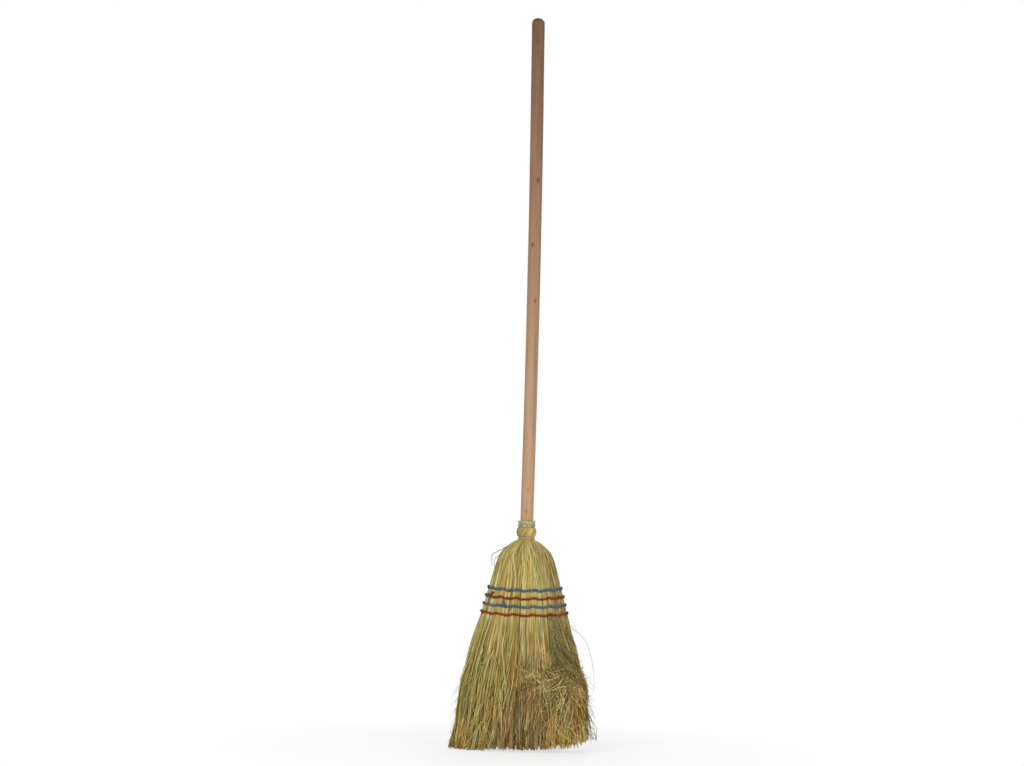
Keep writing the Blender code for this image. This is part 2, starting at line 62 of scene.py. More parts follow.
def rise(x: Array, start: float, span: float, most: float = 1.0) -> Array:
    """Nothing up to the start and one from a span further on; a span below zero runs down."""
    return ((x - start) / span).clip(0, most)


def unit(vectors: Array) -> Array:
    """Vectors at length one."""
    return vectors / np.linalg.norm(vectors, axis=-1, keepdims=True).clip(1e-12)


# Colour


def written(*colours: Shade) -> Array:
    """Linear values of colours written as they look on a screen, 0 to 255.

    Args:
        colours: one or more colours, each as red, green and blue.

    Returns:
        One row of three linear values per colour.
    """
    share = np.array(colours, float) / 255.0
    return np.where(share <= 0.04045, share / 12.92, ((share + 0.055) / 1.055) ** 2.4)


class StrawTone(Enum):
    """The families of straw colour that the broom shows."""

    CREAM = ((216, 197, 132), (206, 188, 118), (222, 206, 146))
    YELLOW_GREEN = ((198, 180, 96), (188, 172, 86), (206, 188, 108), (178, 164, 78))
    OLIVE = ((160, 148, 70), (146, 138, 62), (170, 156, 82))
    GOLDEN = ((202, 166, 86), (190, 150, 70), (212, 178, 100))
    ROSY_TAN = ((206, 172, 120), (192, 156, 106), (214, 182, 132))
    BROWN = ((156, 124, 66), (138, 108, 54), (170, 138, 80))
    GREY_GREEN = ((142, 130, 78), (126, 116, 68), (156, 144, 90))
    HUSK = ((168, 138, 74), (146, 116, 56), (186, 158, 92))


MIXED_TONES = tuple(StrawTone)[:-1]
CREAM, GREEN, OLIVE, GOLDEN, ROSY, BROWN, GREY = range(len(MIXED_TONES))


def paint(colour: Shade) -> tuple[float, ...]:
    """One written colour as a node takes it: linear, with full cover."""
    return (*written(colour)[0], 1.0)


def pick_tones(rng: Chance, weights: Array, tones: tuple[StrawTone, ...] = MIXED_TONES) -> Array:
    """One colour per strand, drawn from families with given weights and then varied.

    Args:
        rng: the source of chance.
        weights: one row per strand with one weight per family.
        tones: the families, in the order of the weights.

    Returns:
        Linear colours, one row per strand.
    """
    steps = np.cumsum(weights, axis=1)
    draw = rng.random(len(weights))[:, None] * steps[:, -1:]
    family = (draw > steps).sum(axis=1).clip(0, len(tones) - 1)
    shades = [written(*tone.value) for tone in tones]
    member = rng.random(len(weights))
    out = np.empty((len(weights), 3))
    for index, shade in enumerate(shades):
        chosen = family == index
        out[chosen] = shade[(member[chosen] * len(shade)).astype(int)]
    value = rng.normal(1.0, 0.10, (len(out), 1)).clip(0.72, 1.3)
    return out * value * rng.normal(1.0, 0.03, out.shape)


# Meshes from whole arrays


@dataclass
class Surface:
    """A mesh in the making: points, faces of equal counts, and what its material reads.

    tint is the colour at each point. grain is the place of each point in its own strand: across,
    through and along, in metres, moved by a chance amount so that no two strands match.
    """

    points: Array
    faces: list[Array]
    tint: Array
    grain: Array

    def object(self, name: str) -> bpy.types.Object:
        """The finished object, shaded round, with its tint and grain attributes.

        Args:
            name: the piece's name.

        Returns:
            The object, at the origin.
        """
        mesh = bpy.data.meshes.new(name)
        corners = np.concatenate([f.reshape(-1) for f in self.faces]).astype(np.int32)
        totals = np.concatenate([np.full(len(f), f.shape[1], np.int32) for f in self.faces])
        starts = np.concatenate(([0], np.cumsum(totals)[:-1])).astype(np.int32)
        mesh.vertices.add(len(self.points))
        mesh.loops.add(len(corners))
        mesh.polygons.add(len(totals))
        mesh.vertices.foreach_set("co", self.points.astype(np.float32).reshape(-1))
        mesh.loops.foreach_set("vertex_index", corners)
        mesh.polygons.foreach_set("loop_start", starts)
        mesh.polygons.foreach_set("loop_total", totals)
        mesh.polygons.foreach_set("use_smooth", np.ones(len(totals), bool))
        mesh.update(calc_edges=True)
        tint = mesh.color_attributes.new("tint", "FLOAT_COLOR", "POINT")
        colours = np.ones((len(self.points), 4), np.float32)
        colours[:, :3] = self.tint
        tint.data.foreach_set("color", colours.reshape(-1))
        grain = mesh.attributes.new("grain", "FLOAT_VECTOR", "POINT")
        grain.data.foreach_set("vector", self.grain.astype(np.float32).reshape(-1))
        mesh.validate()
        thing = bpy.data.objects.new(name, mesh)
        bpy.context.scene.collection.objects.link(thing)
        return thing


def joined(surfaces: list[Surface]) -> Surface:
    """Several surfaces as one, each keeping its own points.

    Args:
        surfaces: the surfaces.

    Returns:
        The one surface.
    """
    shift = np.cumsum([0] + [len(s.points) for s in surfaces[:-1]])
    faces = [f + start for s, start in zip(surfaces, shift) for f in s.faces]
    return Surface(
        np.concatenate([s.points for s in surfaces]),
        faces,
        np.concatenate([s.tint for s in surfaces]),
        np.concatenate([s.grain for s in surfaces]),
    )


@dataclass
class Strands:
    """A batch of strands: many paths of equal station count, swept with their own radii.

    paths is strands x stations x 3. radii is strands x stations. tint is a colour per strand or
    per station. facing is the way the flat side looks, per strand or per station.
    """

    paths: Array
    radii: Array
    tint: Array
    facing: Array
    sides: int = 4
    flatness: float = 1.0
    ridges: int = 0
    ridge_depth: float = 0.0
    ridge_pitch: float = 1.0
    closed: bool = False
    brightest: float = 0.92

    def only(self, chosen: Array) -> "Strands":
        """The strands that a mask picks, with everything else as it is."""
        each = ("paths", "radii", "tint", "facing")
        return replace(self, **{name: getattr(self, name)[chosen] for name in each})

    def surface(self, rng: Chance) -> Surface:
        """Sweeps an oval ring along each path.

        With t the path's direction, side = t x facing and out = side x t, ring point j stands at
        centre + r (side cos a + out flatness sin a), a = 2 pi j / sides. Where there are ridges, r
        is swollen by 1 + depth cos(ridges a + pitch s) with s the length run so far. A tint
        with a channel above the brightest allowed is scaled down to it, which keeps its hue.

        Args:
            rng: the source of each strand's own place in the grain.

        Returns:
            The swept surface, its ends closed or its last ring joined to its first.
        """
        count, stations, _ = self.paths.shape
        if self.closed:
            heading = np.roll(self.paths, -1, 1) - np.roll(self.paths, 1, 1)
        else:
            heading = np.gradient(self.paths, axis=1)
        tangent = unit(heading)
        facing = self.facing if self.facing.ndim == 3 else self.facing[:, None, :]
        side = unit(np.cross(tangent, np.broadcast_to(facing, self.paths.shape)))
        out = np.cross(side, tangent)
        step = np.linalg.norm(np.diff(self.paths, axis=1), axis=2)
        along = np.concatenate((np.zeros((count, 1)), np.cumsum(step, axis=1)), axis=1)
        turn = 2 * np.pi * np.arange(self.sides) / self.sides
        radius = self.radii[:, :, None] * np.ones(self.sides)
        if self.ridges:
            swell = np.cos(self.ridges * turn + self.ridge_pitch * along[:, :, None])
            radius = radius * (1 + self.ridge_depth * swell)
        across = radius * np.cos(turn)
        through = radius * self.flatness * np.sin(turn)
        points = (
            self.paths[:, :, None, :]
            + side[:, :, None, :] * across[..., None]
            + out[:, :, None, :] * through[..., None]
        )
        seed = rng.random((count, 1, 1, 3)) * (7.0, 7.0, 3.0)
        grain = np.stack(
            (across, through, np.broadcast_to(along[:, :, None], across.shape)), axis=-1
        )
        tint = self.tint if self.tint.ndim == 3 else self.tint[:, None, :]
        tint = tint * (self.brightest / tint.max(axis=-1, keepdims=True).clip(1e-3)).clip(None, 1)
        tint = np.broadcast_to(tint[:, :, None, :], points.shape)
        return Surface(
            points.reshape(-1, 3),
            self.faces(count, stations),
            tint.reshape(-1, 3),
            (grain + seed).reshape(-1, 3),
        )

    def faces(self, count: int, stations: int) -> list[Array]:
        """Quads between neighbouring rings, and one face over each end of an open strand.

        Args:
            count: how many strands there are.
            stations: how many rings each has.

        Returns:
            Arrays of faces, each with its own count of corners.
        """
        j = np.arange(self.sides)
        k = (j + 1) % self.sides
        rings = stations if self.closed else stations - 1
        i = np.arange(rings)[:, None]
        n = (i + 1) % stations
        ring = np.stack(
            (i * self.sides + j, n * self.sides + j, n * self.sides + k, i * self.sides + k),
            axis=-1,
        ).reshape(-1, 4)
        start = np.arange(count)[:, None, None] * stations * self.sides
        found = [(ring[None] + start).reshape(-1, 4)]
        if not self.closed:
            first = start[:, 0] + j
            last = start[:, 0] + (stations - 1) * self.sides + j[::-1]
            found += [first, last]
        return found


def capped(rings: Array, foot: float, head: float, tint: Array) -> Surface:
    """A closed body of level rings, with a point on the axis under the first and over the last.

    Args:
        rings: rings x sides x 3, lowest first.
        foot: height of the lower point.
        head: height of the upper point.
        tint: one colour.

    Returns:
        The closed surface.
    """
    rows, sides, _ = rings.shape
    points = np.concatenate((rings.reshape(-1, 3), [[0, 0, foot], [0, 0, head]]))
    i = np.arange(rows - 1)[:, None] * sides
    j = np.arange(sides)
    k = (j + 1) % sides
    quads = np.stack((i + j, i + k, i + sides + k, i + sides + j), -1).reshape(-1, 4)
    below = np.stack((np.full(sides, rows * sides), k, j), -1)
    top = (rows - 1) * sides
    above = np.stack((np.full(sides, rows * sides + 1), top + j, top + k), -1)
    return Surface(points, [quads, below, above], np.tile(tint, (len(points), 1)), points.copy())


def turned(profile: Array, sides: int, tint: Array, wobble: float = 0.0) -> Surface:
    """A profile of radius and height carried once round the upright axis.

    Point j of ring i stands at (r cos a, r sin a, z) with a = 2 pi j / sides, and r is changed by
    wobble times two slow sines of a and z, so that a worked stick isn't perfectly round.

    Args:
        profile: rows of radius and height, lowest first, its ends on the axis.
        sides: points in a ring.
        tint: one colour.
        wobble: how far the radius strays, in metres.

    Returns:
        The closed surface.
    """
    a = 2 * np.pi * np.arange(sides) / sides
    inner = profile[1:-1]
    r = inner[:, :1] + wobble * np.sin(2 * a + 9 * inner[:, 1:]) * np.sin(31 * inner[:, 1:] + 1)
    rings = np.stack((r * np.cos(a), r * np.sin(a), np.broadcast_to(inner[:, 1:], r.shape)), -1)
    return capped(rings, profile[0, 1], profile[-1, 1], tint)


def sway(rng: Chance, along: Array, reach: Array, waves: float = 1.0) -> Array:
    """A smooth sideways stray of each strand, nothing at its root.

    It is reach times s to the power 0.8 times the sum of three sines of chance pitch and phase,
    the second and third at half and a third of the first's height.

    Args:
        rng: the source of chance.
        along: from 0 at the root to 1 at the tip, for each strand or as one row for all.
        reach: the most that each strand strays, in metres.
        waves: about how many bends there are.

    Returns:
        The stray, strands x stations.
    """
    count = len(reach)
    total = np.zeros((count, along.shape[1]))
    for order in (1, 2, 3):
        pitch = waves * order * rng.uniform(0.5, 1.3, (count, 1))
        phase = rng.uniform(0, 2 * np.pi, (count, 1))
        total += (np.sin(2 * np.pi * pitch * along + phase) - np.sin(phase)) / order
    return np.reshape(reach, (-1, 1)) * along**0.8 * total / 1.8


# The broom's own form


@dataclass(frozen=True)
class StrawOutline:
    """Half width and half depth of the straw at every height, as the solids have them."""

    neck_radius: float = 0.0141
    bulge_rise: float = 0.0034
    half_width: float = 0.126
    half_depth: float = 0.041
    collar: float = 0.374075
    bulge_foot: float = 0.378925
    bulge_head: float = 0.396325
    upper_wire: float = 0.3995
    lower_wire: float = 0.3765
    ruff_radius: float = 0.0149
    rows: tuple[float, ...] = (0.289, 0.2745, 0.260, 0.2455)
    spread: tuple[Point, ...] = (
        (0.000, 1.000, 1.000),
        (0.104, 0.946, 0.906),
        (0.216, 0.906, 0.813),
        (0.331, 0.857, 0.719),
        (0.443, 0.740, 0.607),
        (0.556, 0.633, 0.494),
        (0.671, 0.535, 0.401),
        (0.842, 0.382, 0.476),
        (0.898, 0.329, 0.476),
        (0.935, 0.275, 0.438),
        (0.954, 0.221, 0.400),
        (0.973, 0.150, 0.326),
        (0.991, 0.069, 0.176),
        (1.000, 0.000, 0.000),
    )

    def half_axes(self, height: Array) -> tuple[Array, Array]:
        """Half width and half depth: measured shares joined by lines, then a round neck.

        Between the two windings the neck swells by the first half of a sine to the power 0.6, and
        above the upper one it opens a little to the ruff.

        Args:
            height: any heights in metres.

        Returns:
            Half widths and half depths at those heights.
        """
        table = np.array(self.spread)
        level = table[:, 0] * self.collar
        wide = np.interp(height, level, table[:, 1])
        deep = np.interp(height, level, table[:, 2])
        swell = rise(height, self.bulge_foot, self.bulge_head - self.bulge_foot)
        neck = self.bulge_rise * np.sin(np.pi * swell).clip(0) ** 0.6
        flare = rise(height - self.upper_wire, 0.0035, 0.004, 1.6)
        base = self.neck_radius + neck + (self.ruff_radius - self.neck_radius) * flare
        return (
            base + (self.half_width - self.neck_radius) * wide,
            base + (self.half_depth - self.neck_radius) * deep,
        )

    def girth(self, height: Array) -> Array:
        """Length once round the straw at each height, by the mean of the squared half axes."""
        wide, deep = self.half_axes(height)
        return 2 * np.pi * np.sqrt((wide**2 + deep**2) / 2)

    def outward(self, angle: Array, height: Array) -> Array:
        """The level direction that looks straight out of the outline."""
        wide, deep = self.half_axes(height)
        x, y = np.cos(angle) / wide, np.sin(angle) / deep
        return unit(np.stack((x, y, np.zeros_like(x)), axis=-1))

    def facing(self, angle: Array, height: float = 0.12) -> Array:
        """The way out of the outline for each angle, at one height."""
        return self.outward(angle, np.full(len(angle), height))

    def place(self, angle: Array, height: Array, offset: Array | float = 0.0) -> Array:
        """Points on the outline at angles and heights, moved straight out by an offset."""
        wide, deep = self.half_axes(height)
        ground = np.stack((wide * np.cos(angle), deep * np.sin(angle), height), axis=-1)
        return ground + self.outward(angle, height) * np.asarray(offset)[..., None]

    def inside(self, angle: Array, share: Array, height: Array) -> Array:
        """Points inside the outline, at a share of the way from the axis to its edge."""
        wide, deep = self.half_axes(height)
        return np.stack(
            (wide * share * np.cos(angle), deep * share * np.sin(angle), height), axis=-1
        )

    def row_height(self, row: int, angle: Array) -> Array:
        """Height of a sewn row: it sags in the middle of each face and waves fourteen times."""
        sag = 0.004 * np.abs(np.sin(angle)) ** 1.5
        return self.rows[row] - sag + 0.001 * np.cos(14 * angle)

    def even_angles(self, count: int, height: float = 0.2455) -> Array:
        """Angles that part the outline at one height into runs of equal length.

        Args:
            count: how many angles.
            height: the height to measure at.

        Returns:
            The angles.
        """
        fine = np.linspace(0, 2 * np.pi, 2001)
        wide, deep = self.half_axes(np.array([height]))
        length = np.hypot(np.diff(wide * np.cos(fine)), np.diff(deep * np.sin(fine)))
        run = np.concatenate(([0.0], np.cumsum(length)))
        return np.interp(np.arange(count) / count * run[-1], run, fine)

    def tuft_light(self, angle: Array) -> Array:
        """Light and dark by tufts: three sines of the angle, between about 0.6 and 1.4."""
        wave = 0.17 * np.sin(47 * angle + 1.3) + 0.13 * np.sin(83 * angle + 0.4)
        return (1 + wave + 0.11 * np.sin(131 * angle + 2.2)).clip(0.6, 1.42)

    def lane_light(self, place: Array) -> Array:
        """Tuft light at points: by the angle that each has on the outline, wavering with height."""
        wide, deep = self.half_axes(place[..., 2].clip(0, 0.24))
        angle = np.arctan2(place[..., 1] / deep, place[..., 0] / wide)
        return self.tuft_light(angle + 0.018 * np.sin(75 * place[..., 2] + 9 * angle))

    def wear(self, x: Array) -> Array:
        """How far up the wear reaches at the lower edge: hardly at the left, 20 mm at the right
        corner.

        Three narrow bells on top of that leave notches 6 to 12 mm high between tufts.

        Args:
            x: places across the broom.

        Returns:
            The rise at each place.
        """
        marks = (-0.126, -0.112, -0.070, -0.045, 0.0, 0.035, 0.085, 0.105, 0.120)
        rises = (0.005, 0.0, 0.0, 0.002, 0.0035, 0.005, 0.0075, 0.013, 0.020)
        notches = ((-0.046, 0.012), (-0.024, 0.006), (0.097, 0.008))
        return np.interp(x, marks, rises) + sum(high * bell(x, at, 0.0034) for at, high in notches)

    def pinch(self, angle: Array, height: Array) -> Array:
        """How far the twine pulls the straw in: 1.1 mm at each sewn row, a bell 3.2 mm wide."""
        total = np.zeros(np.broadcast(angle, height).shape)
        for row in range(len(self.rows)):
            total += 0.0011 * bell(height, self.row_height(row, angle), 0.0032)
        return total


OUTLINE = StrawOutline()


class Bundle(Enum):
    """The five bundles of straw, by the node that each one's straw stands for."""

    FRONT = "front_hurl"
    BACK = "back_hurl"
    LEFT = "left_shoulder"
    RIGHT = "right_shoulder"
    INNER = "inner_bundle"


def bundle_masks(angle: Array, share: Array) -> dict[Bundle, Array]:
    """Which strands belong to which bundle, by their angle and how deep they stand.

    Args:
        angle: each strand's angle on the outline.
        share: how far out it stands, 1 at the edge.

    Returns:
        A mask over the strands for each bundle.
    """
    turn = np.mod(angle, 2 * np.pi) / np.pi
    outer = share > 0.7
    return {
        Bundle.INNER: ~outer,
        Bundle.FRONT: outer & (np.abs(turn - 1.5) <= 0.345),
        Bundle.BACK: outer & (np.abs(turn - 0.5) <= 0.345),
        Bundle.LEFT: outer & (np.abs(turn - 1.0) < 0.155),
        Bundle.RIGHT: outer & ((turn < 0.155) | (turn > 1.845)),
    }


@dataclass
class Growth:
    """Strands that grow out of the bundles: the angle of each, and its share of the way out."""

    strands: Strands
    angle: Array
    share: Array

    def kept(self, chosen: Array) -> "Growth":
        """The part of it that a mask picks."""
        return Growth(self.strands.only(chosen), self.angle[chosen], self.share[chosen])

    def split(self) -> dict[Bundle, Strands]:
        """The strands of each bundle."""
        masks = bundle_masks(self.angle, self.share)
        return {bundle: self.strands.only(mask) for bundle, mask in masks.items()}


def kept_in(path: Array, left: float = 0.003, right: float = 0.006, proud: float = 0.005) -> Array:
    """Paths eased back towards the outline where they stray beyond it, and kept off the floor.

    Past a limit that follows the outline, a stray e becomes room (1 - exp(-e / room)). Low down the
    limit is 6 per cent nearer at the right and 10 at its corner, and each strand's own limit there
    is up to 6 mm nearer still, by the depth of its first point. The left edge is drawn straighter:
    2 per cent out round 185 mm, 3 in below that, and out again at the foot.

    Args:
        path: places, any shape ending in three.
        left: room past the half width at the left.
        right: room past it at the right.
        proud: room past the half depth.

    Returns:
        The eased paths.
    """
    out = path.copy()
    out[..., 2] = np.maximum(out[..., 2], 0.0014)
    wide, deep = OUTLINE.half_axes(out[..., 2].clip(0, 0.24))
    low = rise(out[..., 2], 0.215, -0.08)
    corner = rise(out[..., 2], 0.075, -0.05)
    foot = rise(out[..., 2], 0.045, -0.045)
    belly = 0.020 * bell(out[..., 2], 0.185, 0.032)
    own = 0.006 * np.mod(np.abs(out[:, :1, 1]) * 9973, 1) * low
    limit = wide * (1 - 0.062 * low - 0.040 * corner) - own
    out[..., 0] *= 1 + belly * (out[..., 0] < 0)
    wide = np.where(out[..., 0] > 0, limit, wide * (1 + belly - 0.034 * low + 0.040 * foot))
    side = np.where(out[..., 0] > 0, right, left)
    for axis, reach, room in ((0, wide, side), (1, deep, proud)):
        far = np.abs(out[..., axis])
        eased = np.minimum(far, reach) + room * (1 - np.exp(-(far - reach).clip(0) / room))
        out[..., axis] = np.sign(out[..., axis]) * eased
    return out


# Finishes


class Bench:
    """Lays out the nodes of one material, or of the surround."""

    def __init__(self, owner: Material | bpy.types.World) -> None:
        """Starts on the nodes of a material or a world.

        Args:
            owner: the new material or world.
        """
        self.owner = owner
        owner.use_nodes = True
        self.tree = owner.node_tree
        self.shader = self.tree.nodes.get("Principled BSDF")

    def add(
        self, kind: str, inputs: dict[str | int, object] | None = None, **facts: object
    ) -> bpy.types.Node:
        """A node with its fields and its input values or links.

        Args:
            kind: the node's type.
            inputs: values or output sockets, by the input's name or number.
            facts: the node's own fields.

        Returns:
            The node.
        """
        node = self.tree.nodes.new(kind)
        for key, value in facts.items():
            setattr(node, key, value)
        self.give(node, inputs or {})
        return node

    def give(self, node: bpy.types.Node, inputs: dict[str | int, object]) -> None:
        """Links outputs into a node's inputs, or sets their values."""
        for key, value in inputs.items():
            if isinstance(value, Socket):
                self.tree.links.new(value, node.inputs[key])
            else:
                node.inputs[key].default_value = value

    def place(self) -> Socket:
        """The place of each point in the object's own frame."""
        return self.add("ShaderNodeTexCoord").outputs["Object"]

    def attribute(self, name: str, output: str) -> Socket:
        """One of the mesh's attributes, as a colour or as a vector."""
        return self.add("ShaderNodeAttribute", attribute_name=name).outputs[output]

    def ramp(self, source: Socket, stops: list[tuple[float, tuple[float, ...]]]) -> Socket:
        """A colour ramp over a value.

        Args:
            source: the value.
            stops: places on it, each with its colour.

        Returns:
            The colour output.
        """
        node = self.add("ShaderNodeValToRGB", {0: source})
        elements = node.color_ramp.elements
        while len(elements) < len(stops):
            elements.new(0.5)
        for element, (place, colour) in zip(elements, stops):
            element.position = place
            element.color = (*colour[:3], 1.0)
        return node.outputs[0]

    def mix(self, blend: str, share: object, under: object, over: object) -> Socket:
        """Two colours mixed, and the result's socket."""
        node = self.add("ShaderNodeMix", data_type="RGBA", blend_type=blend, clamp_result=True)
        self.give(node, {0: share, 6: under, 7: over})
        return node.outputs[2]

    def noise(
        self, vector: object, scale: float, detail: float = 2.0, rough: float = 0.5
    ) -> Socket:
        """Noise over a vector, and its value output."""
        facts = {"Vector": vector, "Scale": scale, "Detail": detail, "Roughness": rough}
        return self.add("ShaderNodeTexNoise", facts).outputs[0]

    def stretched(self, vector: object, scale: Point) -> Socket:
        """A vector scaled along each axis."""
        return self.add("ShaderNodeMapping", {"Vector": vector, "Scale": scale}).outputs[0]

    def streaks(
        self, vector: object, scale: Point, detail: float = 2.0, rough: float = 0.5
    ) -> Socket:
        """Noise drawn out by a scale along each axis."""
        return self.noise(self.stretched(vector, scale), 1.0, detail, rough)

    def fit(self, source: object, low: float, high: float, to_low: float, to_high: float) -> Socket:
        """A value carried from one range to another."""
        node = self.add("ShaderNodeMapRange", {0: source, 1: low, 2: high, 3: to_low, 4: to_high})
        return node.outputs[0]

    def sum(self, operation: str, first: object, second: object = 0.0) -> Socket:
        """One step of arithmetic on values."""
        node = self.add("ShaderNodeMath", {0: first, 1: second}, operation=operation)
        return node.outputs[0]

    def blend(self, share: object, under: object, over: object) -> Socket:
        """Two shaders blended by a share, and the result's socket."""
        return self.add("ShaderNodeMixShader", {0: share, 1: under, 2: over}).outputs[0]

    def seen(self) -> Socket:
        """One for camera, glossy and transmission rays, and nothing for the light itself.

        Returns:
            The output that says so.
        """
        path = self.add("ShaderNodeLightPath").outputs
        first = self.sum("ADD", path["Is Camera Ray"], path["Is Glossy Ray"])
        every = self.sum("ADD", first, path["Is Transmission Ray"])
        return self.sum("MINIMUM", every, 1.0)

    def finished(
        self, height: object, strength: float, distance: float, **surface: object
    ) -> Material:
        """The material, once its shader has a bump and its surface values.

        Args:
            height: what the bump follows.
            strength: how strong the bump is.
            distance: how high it stands, in metres.
            surface: the shader's other inputs, with _ for each space in a name.

        Returns:
            The material.
        """
        facts = {"Height": height, "Strength": strength, "Distance": distance}
        bump = self.add("ShaderNodeBump", facts).outputs[0]
        named = {key.replace("_", " "): value for key, value in surface.items()}
        self.give(self.shader, {**named, "Normal": bump})
        return self.owner


@dataclass(frozen=True)
class StrawFinish:
    """Dry straw: each strand's own tint, drawn-out fibres, blotches and small dark flecks."""

    name: str
    fibre_scale: Point = (1500.0, 1500.0, 26.0)
    blotch: Shade = (120, 112, 52)
    blotch_share: float = 0.32
    roughness: float = 0.52
    fleck_share: float = 0.35

    def material(self) -> Material:
        """Lays out the nodes of the finish.

        Returns:
            The material.
        """
        bench = Bench(bpy.data.materials.new(self.name))
        tint = bench.attribute("tint", "Color")
        grain = bench.attribute("grain", "Vector")
        fibre = bench.streaks(grain, self.fibre_scale, 3.0, 0.6)
        patch = bench.streaks(grain, (40.0, 40.0, 22.0))
        fleck = bench.streaks(grain, (900.0, 900.0, 260.0), 1.0)
        share = bench.fit(patch, 0.52, 0.72, 0.0, self.blotch_share)
        colour = bench.mix("MIX", share, tint, paint(self.blotch))
        shade = bench.ramp(fibre, [(0.28, (0.66,) * 3), (0.5, (0.97,) * 3), (0.72, (1.12,) * 3)])
        colour = bench.mix("MULTIPLY", 1.0, colour, shade)
        dots = bench.fit(fleck, 0.66, 0.72, 0.0, self.fleck_share)
        colour = bench.mix("MULTIPLY", dots, colour, (0.42, 0.30, 0.18, 1.0))
        rough = bench.fit(fibre, 0.3, 0.7, self.roughness + 0.12, self.roughness - 0.08)
        return bench.finished(
            fibre, 0.5, 0.0002, Base_Color=colour, Roughness=rough, Specular_IOR_Level=0.35
        )


@dataclass(frozen=True)
class WoodFinish:
    """Turned beech: fine long grain, small rays, a few knots, browner at the top, and a painted
    shade over the top of the dome.

    tones runs up the stick, from its end in the straw to the dome. knots and flecks are spots,
    each with its place and its size in metres.
    """

    name: str = "beech_handle"
    tones: tuple[tuple[float, Shade], ...] = (
        (0.0, (190, 155, 120)),
        (0.28, (179, 143, 109)),
        (0.55, (161, 124, 92)),
        (0.80, (132, 98, 68)),
        (1.0, (108, 77, 49)),
    )
    knots: tuple[tuple[float, float, float, float], ...] = (
        (0.004, -0.0108, 1.012, 0.0042),
        (-0.003, -0.0111, 0.897, 0.0034),
        (0.0045, -0.0106, 0.798, 0.0030),
        (0.009, 0.0070, 0.655, 0.0036),
        (-0.008, 0.0080, 1.120, 0.0040),
    )
    flecks: tuple[tuple[float, float, float, float], ...] = (
        (0.0005, -0.0115, 0.462, 0.0030),
        (-0.0020, -0.0113, 0.424, 0.0034),
        (-0.0072, -0.0105, 1.284, 0.0075),
        (-0.0062, -0.0108, 1.268, 0.0070),
        (-0.0040, -0.0115, 1.256, 0.0070),
        (-0.0042, -0.0115, 1.238, 0.0055),
    )

    def material(self) -> Material:
        """Lays out the nodes of the finish.

        Returns:
            The material.
        """
        bench = Bench(bpy.data.materials.new(self.name))
        place = bench.place()
        bend = bench.streaks(place, (14.0, 14.0, 2.2))
        grain = bench.streaks(place, (620.0, 620.0, 9.0), 4.0, 0.62)
        band = bench.streaks(place, (150.0, 150.0, 2.6))
        rays = bench.streaks(place, (900.0, 900.0, 140.0), 1.0)
        height = bench.add("ShaderNodeSeparateXYZ", {0: place}).outputs[2]
        level = bench.fit(height, 0.40, 1.30, 0.0, 1.0)
        colour = bench.ramp(level, [(at, paint(tone)) for at, tone in self.tones])
        fine = [(0.30, (0.66, 0.60, 0.54)), (0.52, (1.0,) * 3), (0.75, (1.12,) * 3)]
        colour = bench.mix("MULTIPLY", 0.75, colour, bench.ramp(grain, fine))
        broad = [(0.32, (0.80, 0.76, 0.72)), (0.6, (1.04,) * 3)]
        colour = bench.mix("MULTIPLY", 0.7, colour, bench.ramp(band, broad))
        drift = bench.fit(bend, 0.35, 0.65, 0.0, 0.25)
        colour = bench.mix("MULTIPLY", drift, colour, (0.84, 0.70, 0.58, 1.0))
        ray = bench.fit(rays, 0.62, 0.70, 0.0, 0.35)
        colour = bench.mix("MULTIPLY", ray, colour, (0.60, 0.44, 0.32, 1.0))
        for x, y, z, size in self.knots:
            core = self.spot(bench, place, (x, y, z), size, 0.85)
            colour = bench.mix("MULTIPLY", core, colour, (0.36, 0.24, 0.15, 1.0))
        for x, y, z, size in self.flecks:
            core = self.spot(bench, place, (x, y, z), size, 0.72)
            colour = bench.mix("MULTIPLY", core, colour, (0.80, 0.50, 0.38, 1.0))
        # Painted shade: the top of the dome is darkened, most above 1.2972 m.
        dome_top_shade = bench.fit(height, 1.2920, 1.2972, 0.0, 0.85)
        colour = bench.mix("MULTIPLY", dome_top_shade, colour, (0.34, 0.33, 0.28, 1.0))
        rough = bench.fit(grain, 0.3, 0.7, 0.58, 0.42)
        return bench.finished(
            grain, 0.22, 0.0003, Base_Color=colour, Roughness=rough, Specular_IOR_Level=0.4
        )

    @staticmethod
    def spot(bench: Bench, place: object, middle: Point, size: float, most: float) -> Socket:
        """A soft spot drawn out along the grain: its share at each place, most in the middle.

        Args:
            bench: the nodes to add to.
            place: the place of each point.
            middle: the spot's middle.
            size: its radius across the grain.
            most: the share in its middle.

        Returns:
            The share's output.
        """
        along = 0.55
        drawn = bench.stretched(place, (1.0, 1.0, along))
        facts = {0: drawn, 1: (middle[0], middle[1], middle[2] * along)}
        gap = bench.add("ShaderNodeVectorMath", facts, operation="DISTANCE").outputs["Value"]
        return bench.fit(gap, size * 0.35, size, most, 0.0)


@dataclass(frozen=True)
class WireFinish:
    """Zinc-coated wire: bright, a little uneven, dulled in patches."""

    name: str
    colour: Shade = (190, 183, 150)
    roughness: float = 0.30

    def material(self) -> Material:
        """Lays out the nodes of the finish.

        Returns:
            The material.
        """
        bench = Bench(bpy.data.materials.new(self.name))
        place = bench.place()
        cloud = bench.noise(place, 420.0, 3.0, 0.6)
        fine = bench.noise(place, 2600.0)
        dull = paint(tuple(int(channel * 0.76) for channel in self.colour))
        share = bench.fit(cloud, 0.40, 0.66, 0.0, 1.0)
        colour = bench.mix("MIX", share, paint(self.colour), dull)
        rough = bench.fit(cloud, 0.35, 0.7, self.roughness, self.roughness + 0.22)
        return bench.finished(
            fine, 0.12, 0.0001, Base_Color=colour, Roughness=rough, Metallic=1.0
        )


